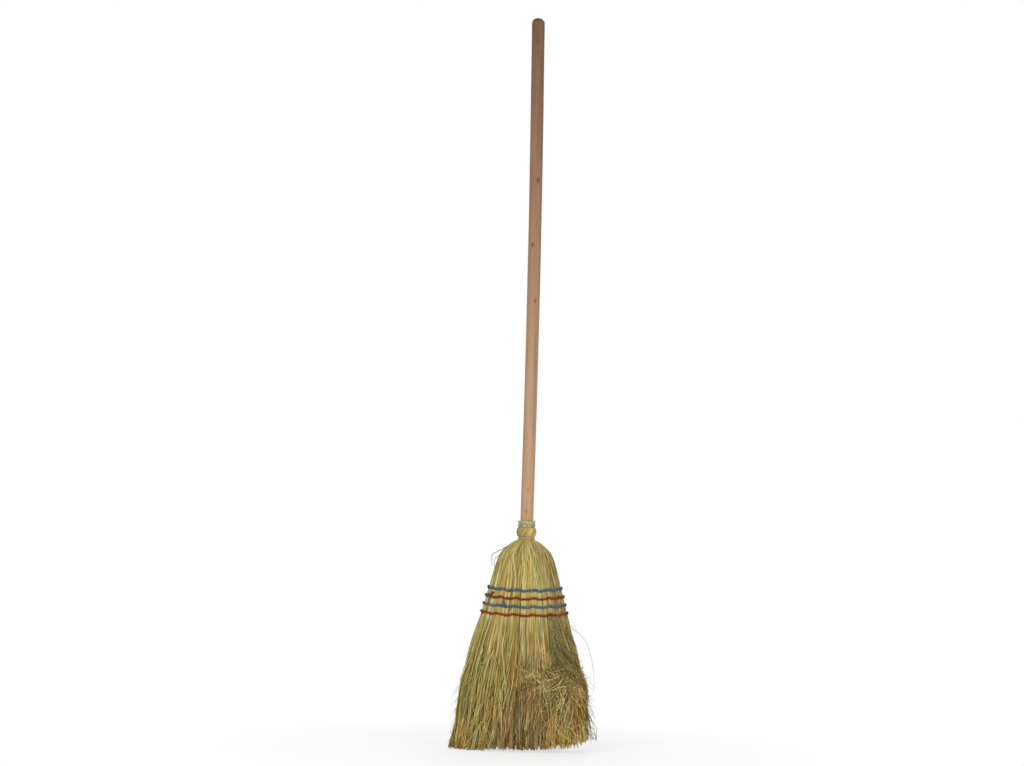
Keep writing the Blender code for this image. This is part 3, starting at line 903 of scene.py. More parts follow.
@dataclass(frozen=True)
class TwineFinish:
    """Dyed spun twine: darker between its fibres, paler and dustier where it is chafed."""

    name: str
    dyed: Shade
    pale: Shade
    deep: Shade

    def material(self) -> Material:
        """Lays out the nodes of the finish.

        Returns:
            The material.
        """
        bench = Bench(bpy.data.materials.new(self.name))
        grain = bench.attribute("grain", "Vector")
        fibre = bench.streaks(grain, (3400.0, 3400.0, 480.0), 3.0, 0.65)
        drift = bench.streaks(grain, (120.0, 120.0, 230.0))
        halves = [bench.sum("MULTIPLY", part, 0.5) for part in (fibre, drift)]
        stops = [(0.26, paint(self.deep)), (0.50, paint(self.dyed)), (0.78, paint(self.pale))]
        dye = bench.ramp(bench.sum("ADD", *halves), stops)
        return bench.finished(
            fibre,
            0.6,
            0.0002,
            Base_Color=bench.mix("MULTIPLY", 1.0, dye, bench.attribute("tint", "Color")),
            Roughness=0.82,
            Specular_IOR_Level=0.25,
            Sheen_Weight=0.08,
            Sheen_Roughness=0.5,
        )


def dress(name: str, surface: Surface, material: Material, nodes: list[str]) -> None:
    """Puts a finished surface into the scene as a piece of the object.

    Args:
        name: the piece's name.
        surface: its mesh in the making.
        material: its finish.
        nodes: the CAD nodes that it stands for.
    """
    piece = surface.object(name)
    piece.data.materials.append(material)
    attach(piece, BODY)
    if nodes:
        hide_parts(*nodes)
    faces = sum(len(f) * (f.shape[1] - 2) for f in surface.faces)
    log.info("%s: %d triangles, stands for %s", name, faces, ", ".join(nodes) or "detail only")


# Straw


def strand_weights(place: Array, level: Array | None = None) -> Array:
    """Weights of straw tones by place, in the order of MIXED_TONES.

    Four mixes are blended: yellow-green at the left, rosy in the middle, grey-green at the right
    under the sewing, and golden low down at both sides. The grey one hardly shows at the back.

    Args:
        place: one point per strand.
        level: heights to go by in place of the points' own.

    Returns:
        One row of weights per strand.
    """
    x, y, z = place.T
    height = z if level is None else level
    left = rise(-x, 0.012, 0.030)
    side = rise(x, 0.018, 0.030)
    grey = side * rise(height, 0.085, 0.05) * np.where(y > 0, 0.3, 1.0)
    gold = side - grey
    middle = np.clip(1 - left - side, 0, 1)
    low = rise(height, 0.13, -0.08)
    table = np.array(
        [
            [0.15, 0.44, 0.20, 0.03, 0.04, 0.09, 0.05],
            [0.11, 0.19, 0.10, 0.07, 0.29, 0.21, 0.03],
            [0.02, 0.10, 0.20, 0.03, 0.04, 0.15, 0.46],
            [0.20, 0.28, 0.05, 0.20, 0.13, 0.12, 0.02],
        ]
    )
    parts = np.stack((left * (1 - 0.7 * low), middle, grey, gold + 0.7 * left * low), axis=1)
    return parts @ table


@dataclass(frozen=True)
class LightPatch:
    """A soft oval patch of the fan where the straw is kept lighter or darker, in metres."""

    x: float
    half_width: float
    z: float
    half_height: float
    change: float

    def at(self, x: Array, z: Array) -> Array:
        """The change at places: a bell across times a bell up."""
        return self.change * bell(x, self.x, self.half_width) * bell(z, self.z, self.half_height)


FRONT_SHADE = (
    LightPatch(0.060, 0.040, 0.118, 0.036, 0.20),
    LightPatch(-0.020, 0.030, 0.150, 0.028, 0.12),
)
LIT_PATCHES = (
    LightPatch(0.080, 0.026, 0.030, 0.042, 0.48),
    LightPatch(0.094, 0.020, 0.168, 0.028, 0.70),
    LightPatch(-0.110, 0.036, 0.022, 0.045, 0.30),
)


def placed_light(place: Array) -> Array:
    """How bright straw is kept by place: dimmer under the tangle and low in the middle.

    The front's shade is taken off one, and so is the middle of both faces, rosier, most of all
    low down. The lit patches are added. Browner and greener patches about 50 mm across follow the
    product of two sines.

    Args:
        place: points, strands x stations x 3.

    Returns:
        Three factors per point.
    """
    x, y, z = np.moveaxis(place, -1, 0)
    shade = sum(patch.at(x, z) for patch in FRONT_SHADE) * (y < 0)
    middle = bell(x, 0.003, 0.042) * (0.09 + 0.38 * bell(z, 0.030, 0.075))
    lit = sum(patch.at(x, z) for patch in LIT_PATCHES)
    blend = np.sin(120 * x + 17 * z + 0.8) * np.sin(42 * z - 45 * x + 2.0) * rise(z, 0.22, -0.06)
    shift = blend[..., None] * (0.05, -0.03, -0.12) + middle[..., None] * (0.10, -0.12, -0.10)
    return (1 - shade - middle + lit)[..., None] * (1 + shift)


@dataclass
class StalkCoat:
    """The long flat stalks that run from the ruff, under both windings and all rows, and out.

    A layer is a count of stalks and how far outside the outline their middles stand.
    """

    layers: tuple[tuple[int, float], ...] = ((150, -0.0003), (146, -0.0011), (112, -0.0021))
    slim_layer: tuple[int, float] = (190, -0.0001)
    row_station: int = 40
    sides: int = 6
    flatness: float = 0.52
    seed: int = 11

    def heights(self, foot: Array) -> Array:
        """Station heights of each stalk: close together at the neck and rows, then even.

        Args:
            foot: the height of each stalk's lower end.

        Returns:
            Stalks x stations, top first.
        """
        neck = np.concatenate(
            (
                [0.4060, 0.4042, 0.4024, 0.3995],
                np.linspace(0.3966, 0.3789, 12),
                [0.3765, 0.3738, 0.3720, 0.3696, 0.3668, 0.3635, 0.3600, 0.3560, 0.3515],
                [0.3460, 0.3395, 0.3325, 0.3250, 0.3170, 0.3090, 0.2995],
            )
        )
        rows = np.linspace(0.2925, 0.2365, 21)
        common = np.concatenate((neck, rows))
        share = np.linspace(0, 1, 13)[1:]
        tail = common[-1] + (foot[:, None] - common[-1]) * share
        return np.concatenate((np.tile(common, (len(foot), 1)), tail), axis=1)

    def layer(self, rng: Chance, count: int, offset: float, slim: bool) -> Growth:
        """One layer of stalks laid side by side round the outline.

        A stalk keeps its angle on the outline, turned a little through the neck, and is as wide as
        its share of the girth there, up to its own full width. It stands in from the outline by
        its offset and by the twine's pinch, and thins towards its lower end.

        Args:
            rng: the source of chance.
            count: stalks round the broom.
            offset: how far out its middle stands.
            slim: whether these are the few thin stalks on top.

        Returns:
            The stalks.
        """
        angle = OUTLINE.even_angles(count) + rng.normal(0, 0.25, count) * 2 * np.pi / count
        foot = rng.uniform(0.05, 0.19, count)
        centre = bell(np.cos(angle), 0.02, 0.35)
        foot = foot * (1 - 0.75 * centre * (rng.random(count) < 0.5))
        short = (np.cos(angle) > 0.50) & (np.sin(angle) < 0.30)
        foot = np.where(short, rng.uniform(0.205, 0.232, count), foot)
        height = self.heights(foot)
        height[:, 0] += rng.normal(0.0003, 0.0008, count)
        top = rise(height, 0.3765, 0.023, 1.4)
        cross = rise(height, 0.300, 0.070) ** 1.6
        slant = rng.normal(0.55, 0.12, (count, 1))
        turn = angle[:, None] + slant * top + rng.normal(0, 0.15, (count, 1)) * cross
        below = rise(height, 0.2365, -0.2365)
        drift = sway(rng, below, rng.uniform(0.002, 0.010, count), 0.8)
        low, high = (0.0007, 0.0017) if slim else (0.0017, 0.0044)
        widest = low + (high - low) * rng.random(count) ** 1.4
        fair = 1.42 * OUTLINE.girth(height) / (210 if slim else count)
        pitch = rng.uniform(60, 160, (count, 1))
        ripple = 1 + 0.10 * np.sin(height * pitch + rng.uniform(0, 6, (count, 1)))
        width = np.minimum(fair, widest[:, None]) * ripple * (1 - 0.62 * below**0.7)
        stray = rng.normal(0, 0.00045, (count, 1)) * np.clip((0.372 - height) / 0.02, 0.2, 1)
        lean = rng.normal(0, 0.0014, (count, 1)) * np.sin(np.pi * rise(height, 0.292, 0.082))
        out = offset + stray - OUTLINE.pinch(turn, height)
        out += 0.0010 * below * rng.normal(0, 1, (count, 1))
        out += (0.0016 * rng.random((count, 1))) * rise(height, 0.4030, 0.004, 1.3)
        place = OUTLINE.place(turn, height, out)
        across = np.stack((-np.sin(turn), np.cos(turn), np.zeros_like(turn)), axis=-1)
        place = place + across * (drift + lean)[..., None]
        weights = 0.24 * strand_weights(place[:, self.row_station], np.full(count, 0.25))
        weights[:, (ROSY, GREY)] *= 0.55
        weights += (0.13, 0.45, 0.12, 0.08, 0.03, 0.06, 0.02)
        tone = self.tone(pick_tones(rng, weights), place, height)
        facing = OUTLINE.outward(turn, height)
        strands = Strands(place, width / 2, tone, facing, self.sides, self.flatness)
        return Growth(strands, angle, np.ones(count))

    def tone(self, tint: Array, place: Array, height: Array) -> Array:
        """Each stalk's tint as it changes along the stalk.

        The ruff is pale, the crown under the collar is dimmed by a painted shade, and the straw
        just under the rows in the middle is dim. Below the collar a painted shade makes it darker
        and browner towards the right, most in the gaps between tufts. The bulge between the
        windings has a painted shade at the left and a painted light at the right, and the straw by
        the rows is paler at the left.

        Args:
            tint: one colour per stalk.
            place: stalks x stations x 3.
            height: the height that each station was laid at.

        Returns:
            Colours, stalks x stations x 3.
        """
        x = place[..., 0]
        lane = OUTLINE.lane_light(place)
        upper = rise(height, 0.24, 0.05)[..., None]
        rows = bell(height, 0.266, 0.022)[..., None]
        light = (0.35 + 0.65 * lane)[..., None] * (1 - upper) + upper
        tone = tint[:, None, :] * (0.89 + 0.05 * upper + 0.06 * rows) * light
        ruff = 0.6 * rise(height, 0.4005, 0.004)[..., None]
        tone = tone * (1 - ruff) + written((226, 214, 168)) * ruff
        under = rise(height, 0.2400, -0.02) * bell(x, 0.0, 0.045)
        # Painted shade: the crown just under the collar is dimmed by up to 16 per cent.
        crown = bell(height, 0.366, 0.010)
        tone = tone * ((1 - 0.25 * under) * (1 - 0.16 * crown))[..., None]
        # Painted shade: darker and browner towards the right below the collar, most in the gaps
        # between tufts.
        right = rise(x / OUTLINE.half_axes(height)[0], 0.25, 0.45) * rise(height, 0.378, -0.012)
        right_shade = right * (0.14 + 0.42 * rise(lane, 1.08, -0.4))
        tone = tone * (1 - right_shade[..., None] * (0.94, 1.08, 0.86))
        # Painted shade at the left of the bulge and painted light at its right.
        bulge = bell(height, 0.388, 0.010) * (12.0 * x - 0.02)
        tone = tone * (1 + bulge[..., None] * (1.0, 1.05, 1.3))
        return tone * (1 + rows * rise(-x, 0.028, 0.020)[..., None] * (0.22, 0.27, 0.60))

    def build(self) -> dict[Bundle, list[Strands]]:
        """Every stalk, sorted by bundle.

        Returns:
            Batches of stalks for each bundle.
        """
        rng = np.random.default_rng(self.seed)
        found: dict[Bundle, list[Strands]] = {bundle: [] for bundle in Bundle}
        plans = [(*layer, False) for layer in self.layers] + [(*self.slim_layer, True)]
        for count, offset, slim in plans:
            stalks = self.layer(rng, count, offset, slim)
            kept = rng.random(count) > (0.0 if slim else 0.10)
            for bundle, strands in stalks.kept(kept).split().items():
                if bundle is not Bundle.INNER:
                    found[bundle].append(strands)
        return found


@dataclass
class Sweep:
    """The spreading lower straw: straight stems, and panicles of fine branchlets with husks."""

    stem_count: int = 1150
    top_straw_count: int = 760
    bunch_count: int = 1300
    heavy_count: int = 120
    panicle_count: int = 390
    branchlets: int = 12
    warmth: Point = (0.86, 1.03, 1.60)
    seed: int = 23

    def tip_height(self, rng: Chance, x: Array, ragged: float) -> Array:
        """Height of the ragged lower ends: the wear at each place, and chance on top of it."""
        even = np.interp(x, (-0.08, -0.01, 0.04), (0.15, 0.9, 1.0))
        return np.abs(rng.normal(0, ragged, x.shape)) * even + OUTLINE.wear(x)

    def tufted(self, rng: Chance, count: int, tufts: int, loose: float) -> Array:
        """Angles gathered round evenly spaced tufts, so that darker gaps open between them."""
        centres = OUTLINE.even_angles(tufts, 0.10) + rng.normal(0, 0.25, tufts) * 2 * np.pi / tufts
        return rng.choice(centres, count) + rng.normal(0, loose, count)

    def depth_shade(self, share: Array) -> Array:
        """How much of a strand's tint is kept: all at the edge, a browner quarter of it inside."""
        shade = (0.24 + 0.76 * rise(share, 0.76, 0.22))[:, None]
        return shade ** np.array(self.warmth)

    def fanned(
        self, angle: Array, share: Array, top: Array, end: Array, stations: int
    ) -> tuple[Array, Array]:
        """Straight paths down the fan, each at its own angle and share of the way out.

        Args:
            angle: each strand's angle on the outline.
            share: how far out it stands, 1 at the edge.
            top: the height of its upper end.
            end: the height of its lower end.
            stations: points on each path.

        Returns:
            The share of the run at each station, as one row, and the paths.
        """
        s = np.linspace(0, 1, stations)[None, :]
        height = top[:, None] + (end - top)[:, None] * s
        return s, OUTLINE.inside(angle[:, None], share[:, None], height)

    def parted(self, place: Array, angle: Array) -> tuple[Array, Array]:
        """Straw parted into tufts near the floor: gaps stand further in and are darker.

        With low running from 0 at 120 mm up to 1 at 40 mm, depth is cut by up to 15 per cent of
        itself in the gaps. The light is the mean of the strand's own and its place's tuft light,
        to the power 1 + 3.2 low.

        Args:
            place: strands x stations x 3.
            angle: each strand's angle.

        Returns:
            The parted places, and the light, browner where it is less, as strands x stations x 3.
        """
        light = 0.3 * OUTLINE.tuft_light(angle)[:, None] + 0.7 * OUTLINE.lane_light(place)
        low = rise(place[..., 2], 0.120, -0.080)
        out = place.copy()
        out[..., 1] *= 1 - 0.15 * low * rise(light, 1, -0.4)
        power = 1 + 3.2 * low
        dark = (light.clip(None, 1) ** power)[..., None] ** np.array(self.warmth)
        return out, dark * (light.clip(1, None) ** power)[..., None]

    def notch(self, angle: Array) -> Array:
        """How much higher straw ends in the gaps between tufts: up to 8 mm, hardly at the left."""
        even = np.interp(np.cos(angle), (-0.75, -0.3), (0.2, 1.0))
        return 0.008 * even * rise(OUTLINE.tuft_light(angle), 1, -0.4)

    def stems(self, rng: Chance) -> Growth:
        """Straight smooth stems that fan from under the sewing to the floor.

        Args:
            rng: the source of chance.

        Returns:
            The stems.
        """
        count = self.stem_count
        angle = self.tufted(rng, count, 74, 0.022)
        edge = rng.random(count) < 0.55
        share = np.where(edge, rng.uniform(0.90, 0.995, count), np.sqrt(rng.random(count)) * 0.93)
        root = rng.uniform(0.238, 0.252, count)
        end = self.tip_height(rng, 0.12 * share * np.cos(angle), 0.0035) + self.notch(angle)
        short = rng.random(count) < 0.35
        end = np.where(short, rng.uniform(0.02, 0.15, count), end)
        s, place = self.fanned(angle, share, root, end, 14)
        place[..., 0] += sway(rng, s, rng.uniform(0.001, 0.009, count), 0.5)
        place[..., 1] += sway(rng, s, rng.uniform(0.0005, 0.004, count), 0.5)
        thick = (0.0007 + 0.0011 * rng.random(count) ** 1.5)[:, None] * (1 - 0.5 * s)
        mid = place[:, 7]
        weights = strand_weights(mid, mid[:, 2] + 0.02)
        weights[:, CREAM] += 0.12
        tint = pick_tones(rng, weights) * self.depth_shade(share)
        place, light = self.parted(place, angle)
        tint = tint[:, None] * placed_light(place) * light
        strands = Strands(kept_in(place), thick, tint, OUTLINE.facing(angle, 0.15), 4)
        return Growth(strands, angle, share)

    def twigs(self, rng: Chance) -> Growth:
        """Fine crinkled branchlets, in panicles that leave one stem and bend down together.

        The first of each panicle is its own stalk, stouter and straight. Each other one starts on
        the panicle's line, leaves it by an angle that dies away along its length, and crinkles by
        small steps that add up. Its radius swells at chance stations, where a husk sits. A
        panicle has one tone, its own place a little in or out, and ends at one ragged height.

        Args:
            rng: the source of chance.

        Returns:
            The branchlets and their stalks.
        """
        groups, each = self.panicle_count, self.branchlets
        count = groups * each
        edge = rng.random(groups) < 0.66
        outer = rng.uniform(0.87, 1.0, groups)
        share = np.repeat(np.where(edge, outer, np.sqrt(rng.random(groups)) * 0.9), each)
        angle = self.tufted(rng, groups, 62, 0.016)
        calm = np.interp(np.cos(angle), (-0.5, -0.2), (0.055, 0.0)) * (rng.random(groups) < 0.75)
        crown = np.repeat(0.238 - 0.175 * rng.random(groups) ** 1.5 - calm, each)
        angle = np.repeat(angle, each)
        first = np.tile(np.arange(each) == 0, groups)
        start = np.where(first, crown + 0.01, crown - 0.045 * rng.random(count) ** 1.4)
        start = start.clip(0.045, 0.240)
        length = np.where(first, 0.30, rng.uniform(0.060, 0.150, count))
        side_x = 0.12 * share * np.cos(angle)
        tuft = np.repeat(self.tip_height(rng, side_x[::each], 0.0045), each)
        floor = np.abs(rng.normal(0, 0.0022, count)) + tuft + self.notch(angle)
        end = np.maximum(start - length, floor)
        stations = 20
        s, place = self.fanned(angle, share, start, end, stations)
        way = rng.uniform(0, 2 * np.pi, count)
        loose = np.where((rng.random(count) < 0.24) & (start < 0.15), 0.22, 0.075)
        loose = loose * np.interp(share, (0.80, 0.92), (0.45, 1.0))
        lean = np.where(first, 0.01, np.abs(rng.normal(0, 1, count)) * loose + 0.02)
        fade = 2.4
        run = (start - end)[:, None] * (1 - np.exp(-fade * s)) / fade * 2.0
        place[..., 0] += run * (lean * np.cos(way))[:, None]
        place[..., 1] += run * (0.55 * lean * np.sin(way))[:, None]
        crinkle = rng.normal(0, 0.00042, (count, stations, 3))
        crinkle *= np.interp(start, (0.16, 0.205), (1.0, 0.4))[:, None, None]
        crinkle[first] *= 0.25
        crinkle[:, 0] = 0
        walk = np.cumsum(crinkle, axis=1) * 0.75 + crinkle * 0.9
        walk[..., 2] = crinkle[..., 2]
        place += walk
        swell = 1 + 0.75 * (rng.random((count, stations)) < 0.28) * ~first[:, None]
        thick = np.where(first, 0.0011, rng.uniform(0.00046, 0.00096, count))
        thick = thick[:, None] * (1 - 0.55 * s) * swell
        thick[:, [0, -1]] *= 0.4
        mid = place[::each, 12]
        weights = strand_weights(mid)
        plain = np.interp(mid[:, 2], (0.05, 0.14), (0.0, 1.0))
        plain = plain * np.interp(mid[:, 0], (-0.03, 0.0), (1.0, 0.5))
        weights[:, BROWN] += 0.26 - 0.20 * plain
        weights[:, CREAM] += 0.05 + 0.10 * plain
        weights[:, GREEN] += 0.12 * plain
        weights[:, GOLDEN] += 0.04
        weights[:, ROSY] += 0.10 - 0.08 * plain
        tone = pick_tones(rng, weights)
        tone *= rng.normal(1.02, 0.29, (groups, 1)).clip(0.45, 1.6)
        tint = np.repeat(tone, each, axis=0)
        tint = tint * rng.normal(1.08, 0.27, (count, 1)).clip(0.5, 1.8) * self.depth_shade(share)
        place, light = self.parted(place, angle)
        tint = tint[:, None] * placed_light(place) * light
        bare = (np.abs(place[:, stations // 2, 0] - 0.003) < 0.034) & (place[:, 12, 2] < 0.09)
        kept = ~(bare & (rng.random(count) < 0.62))
        strands = Strands(kept_in(place), thick, tint, OUTLINE.facing(angle), 3)
        return Growth(strands, angle, share).kept(kept)

    def heavy_stems(self, rng: Chance) -> Growth:
        """Stout rosy stems side by side low down in the middle of both faces.

        Args:
            rng: the source of chance.

        Returns:
            The stems.
        """
        count = self.heavy_count
        front = np.arange(count) < count * 0.6
        angle = np.where(front, -np.pi / 2, np.pi / 2) + rng.uniform(-0.26, 0.42, count)
        share = rng.uniform(0.90, 0.99, count)
        root = rng.uniform(0.07, 0.19, count)
        end = self.tip_height(rng, 0.12 * np.cos(angle), 0.004)
        s, place = self.fanned(angle, share, root, end, 14)
        place[..., 0] += sway(rng, s, rng.uniform(0.0005, 0.003, count), 0.4)
        thick = rng.uniform(0.0010, 0.0018, count)[:, None] * (1 - 0.25 * s)
        thick[:, :3] *= (0.2, 0.6, 0.85)
        tint = pick_tones(rng, np.tile((0.1, 0.1, 0.0, 0.1, 0.6, 0.1, 0), (count, 1)))
        tint = tint * rng.normal(0.90, 0.20, (count, 1))
        tint = tint[:, None] * placed_light(place) * OUTLINE.lane_light(place)[..., None] ** 1.6
        tint = tint * (1 - 0.22 * rise(place[..., 2:], 0.10, 0.05))
        strands = Strands(kept_in(place), thick, tint, OUTLINE.facing(angle), 6)
        return Growth(strands, angle, share)

    def top_straws(self, rng: Chance) -> Growth:
        """Pale single straws that lie on the outside, each a little across the fan.

        Each follows its fan line from a chance height and drifts off it by lean times its run,
        with one slow bend. At the left they are longer and keep closer to the fan. Hardly any
        lies on the grey bunch.

        Args:
            rng: the source of chance.

        Returns:
            The straws.
        """
        count = self.top_straw_count
        angle = self.tufted(rng, count, 58, 0.03)
        share = rng.uniform(0.975, 1.02, count)
        left = np.cos(angle) < -0.22
        start = 0.060 + 0.178 * rng.random(count) ** np.where(left, 0.45, 0.8)
        floor = self.tip_height(rng, 0.12 * np.cos(angle), 0.006)
        end = np.maximum(start - rng.uniform(0.05, 0.17, count) - 0.05 * left, floor)
        s, place = self.fanned(angle, share, start, end, 16)
        place += OUTLINE.facing(angle, 0.1)[:, None] * (0.0022 * rng.random((count, 1, 1)))
        run = (start - end)[:, None] * s
        place[..., 0] += run * rng.normal(0, 0.11, (count, 1)) * (1 - 0.6 * left[:, None])
        place[..., 0] += sway(rng, s, rng.uniform(0.001, 0.006, count), 0.7)
        thick = (0.00058 + 0.0008 * rng.random(count) ** 2)[:, None] * (1 - 0.5 * s)
        thick[:, :3] *= (0.25, 0.6, 0.85)
        mid = place[:, 8]
        weights = 0.45 * strand_weights(mid, np.where(mid[:, 0] < 0, mid[:, 2], 0.0))
        weights += (0.26, 0.30, 0.05, 0.03, 0.03, 0.0, 0.0)
        tint = pick_tones(rng, weights)
        low = rise(place[..., 2], 0.100, -0.070)
        light = (1.01 * OUTLINE.lane_light(place)) ** (1 + 4.0 * low)
        light = light * rng.normal(1.02, 0.34, (count, 1)).clip(0.40, 1.9)
        tint = tint[:, None] * placed_light(place) * (light * (1.00 + 0.24 * low))[..., None]
        bare = (np.abs(mid[:, 0] - 0.003) < 0.034) & (mid[:, 2] < 0.095)
        over = (mid[:, 0] > 0.030) & (mid[:, 2] > 0.120) & (mid[:, 1] < 0)
        kept = ~(bare & (rng.random(count) < 0.65)) & ~(over & (rng.random(count) < 0.9))
        strands = Strands(kept_in(place), thick, tint, OUTLINE.facing(angle), 4)
        return Growth(strands, angle, np.ones(count)).kept(kept)

    def right_bunch(self, rng: Chance) -> Strands:
        """The dense grey-green bunch of fine branchlets under the sewing at the front's right.

        Each follows its fan line down from the last row and bends outwards by the square of its
        run, and its lower half splays to both sides into the tangle and turns browner. Towards the
        right edge it is brightened by a painted light.

        Args:
            rng: the source of chance.

        Returns:
            The branchlets.
        """
        count = self.bunch_count
        across = rng.uniform(0.52, 0.985, count)
        angle = -np.arccos(across)
        start = OUTLINE.row_height(3, angle) - 0.0005 - 0.03 * rng.random(count) ** 3
        end = rng.uniform(0.112, 0.172, count)
        s, place = self.fanned(angle, np.ones(count), start, end, 18)
        proud = 0.0002 + 0.0038 * rng.random((count, 1)) * s**0.7
        facing = OUTLINE.facing(angle, 0.15)
        place += facing[:, None] * proud[..., None]
        place[..., 0] += rng.normal(0.004, 0.007, (count, 1)) * s**2
        splayed = rise(s, 0.55, 0.45) ** 1.7
        place[..., 0] += rng.normal(0.003, 0.015, (count, 1)) * splayed
        place += rng.normal(0, 0.00022, place.shape)
        swell = 1 + 0.7 * (rng.random(place.shape[:2]) < 0.22)
        thick = rng.uniform(0.00028, 0.00052, count)[:, None] * (1 - 0.45 * s) * swell
        tint = pick_tones(rng, np.tile((0.02, 0.07, 0.21, 0.02, 0.03, 0.12, 0.53), (count, 1)))
        # Painted light: the bunch is brightened by up to 34 per cent towards the right edge.
        edge = rise(across, 0.72, 0.265)
        tint = tint * (rng.normal(0.76, 0.32, count).clip(0.34, 1.8) * (1 + 0.34 * edge))[:, None]
        tint = tint[:, None] * (1 + splayed[..., None] * np.array((0.26, 0.17, 0.02)))
        tint = tint * placed_light(place) ** 0.8
        return Strands(kept_in(place), thick, tint, facing, 3)

    def husks(self, rng: Chance, twigs: Strands, every: float) -> Surface:
        """Seed husks: small eight-sided grains that sit on chance stations of the branchlets.

        A grain is six points, one each way along its three half axes, the longest along the twig.

        Args:
            rng: the source of chance.
            twigs: the branchlets that carry them.
            every: the share of stations that have a husk.

        Returns:
            All the husks as one surface.
        """
        count, stations, _ = twigs.paths.shape
        chosen = rng.random((count, stations)) < every
        chosen[:, :3] = False
        spot = twigs.paths[chosen]
        tangent = unit(np.gradient(twigs.paths, axis=1))[chosen]
        aside = unit(np.cross(tangent, rng.normal(0, 1, spot.shape)))
        other = np.cross(tangent, aside)
        size = rng.uniform(0.00045, 0.00085, (len(spot), 1))
        middle = spot + aside * size * 0.7
        reach = (tangent * size * 1.7, aside * size, other * size * 0.85)
        corners = np.stack([middle + sign * r for r in reach for sign in (1, -1)], axis=1)
        base = np.array(
            [(0, 2, 4), (0, 4, 3), (0, 3, 5), (0, 5, 2), (1, 4, 2), (1, 3, 4), (1, 5, 3), (1, 2, 5)]
        )
        faces = (np.arange(len(spot))[:, None, None] * 6 + base).reshape(-1, 3)
        flat = corners.reshape(-1, 3)
        tint = pick_tones(rng, np.ones((len(spot), 1)), (StrawTone.HUSK,))
        shift = np.repeat(rng.random((len(spot), 3)), 6, axis=0)
        return Surface(flat, [faces], np.repeat(tint, 6, axis=0), flat + shift)


@dataclass(frozen=True)
class Stray:
    """One straw of its own, in millimetres: its thickness, its tone and the marks it passes.

    Marks of two numbers are x and z, and lie on the front face.
    """

    radius: float
    tone: StrawTone
    marks: tuple[tuple[float, ...], ...]


KINKED_STALKS = (
    Stray(0.95, StrawTone.GREY_GREEN, (
        (-10, -4, 372), (-30, -6, 363), (-50, -6, 352),
        (-59, -6, 346.5), (-60.3, -7, 340), (-59.2, -8, 326),
    )),
    Stray(0.95, StrawTone.GREY_GREEN, (
        (-9, -6, 371), (-26, -9, 360), (-44, -10, 348),
        (-53.5, -10, 340), (-55.5, -10, 334), (-54, -10, 320),
    )),
    Stray(1.00, StrawTone.OLIVE, (
        (-9, -8, 370.5), (-24, -12, 357), (-38, -14, 343),
        (-47, -13, 333), (-50.5, -13, 325), (-56, -12, 308),
    )),
)
WHISKERS = (
    Stray(0.30, StrawTone.BROWN, ((80, -6, 226), (87, -8, 222.5), (93.5, -10, 224))),
    Stray(0.30, StrawTone.BROWN, ((79, -4, 229), (85, -4, 230.5), (90, -6, 229))),
    Stray(0.30, StrawTone.BROWN, ((82, 4, 221), (89, 4, 216.5), (95.5, 4, 216))),
    Stray(0.30, StrawTone.BROWN, ((84, -2, 218), (88.5, -4, 220.5), (94, -4, 214.5))),
    Stray(0.44, StrawTone.GREY_GREEN, (
        (86, 0, 217), (99, -2, 209), (112, -4, 193), (121.5, -4, 165),
        (126, -4, 140), (127, -3, 116), (123.5, -2, 101), (111, 0, 96),
    )),
    Stray(0.30, StrawTone.BROWN, ((100, 0, 150), (113, 2, 133), (124, 2, 120), (133, 4, 112))),
    Stray(0.30, StrawTone.BROWN, ((109, 0, 95), (119, 0, 83), (129, -2, 80), (133.5, -2, 74))),
    Stray(0.30, StrawTone.BROWN, ((112, 2, 70), (121, 2, 52), (126.5, 2, 40), (129, 2, 27))),
    Stray(0.30, StrawTone.BROWN, ((108, -4, 60), (119, -6, 44), (123, -8, 26), (124.5, -8, 14))),
)
FACE_STRAWS = (
    Stray(1.00, StrawTone.CREAM, (
        (-35.3, 201), (-36.7, 180), (-33.2, 149), (-30.9, 120.7),
        (-30.2, 94), (-32.3, 83.4), (-28.9, 57.5), (-27, 32),
    )),
    Stray(1.20, StrawTone.YELLOW_GREEN, (
        (-65, 234), (-77, 188), (-89, 141), (-96.5, 98), (-102, 57.5),
    )),
    Stray(1.10, StrawTone.CREAM, ((-60, 230), (-71.5, 185), (-83.5, 133), (-92.5, 85))),
    # Painted shade: this thin brown straw is a dark line for the gap between the pale straws beside
    # it.
    Stray(0.70, StrawTone.BROWN, (
        (-62.5, 225), (-74.5, 183), (-86.2, 137), (-94.5, 95), (-99, 60),
    )),
    Stray(0.62, StrawTone.YELLOW_GREEN, (
        (26, 114), (45, 112), (66, 111.2), (85, 112), (101, 113.5),
    )),
    Stray(0.70, StrawTone.CREAM, ((-5, 153), (8, 134), (23, 118), (42, 106), (60, 90))),
)
CLIMBING_STRAW = Stray(0.75, StrawTone.GOLDEN, (
    (2, -14.6, 396), (1.6, -14.6, 402), (0.8, -13.6, 410), (0, -12.6, 419), (-0.4, -12.3, 428),
))


FRONT = np.array([[0.0, -1.0, 0.0]])


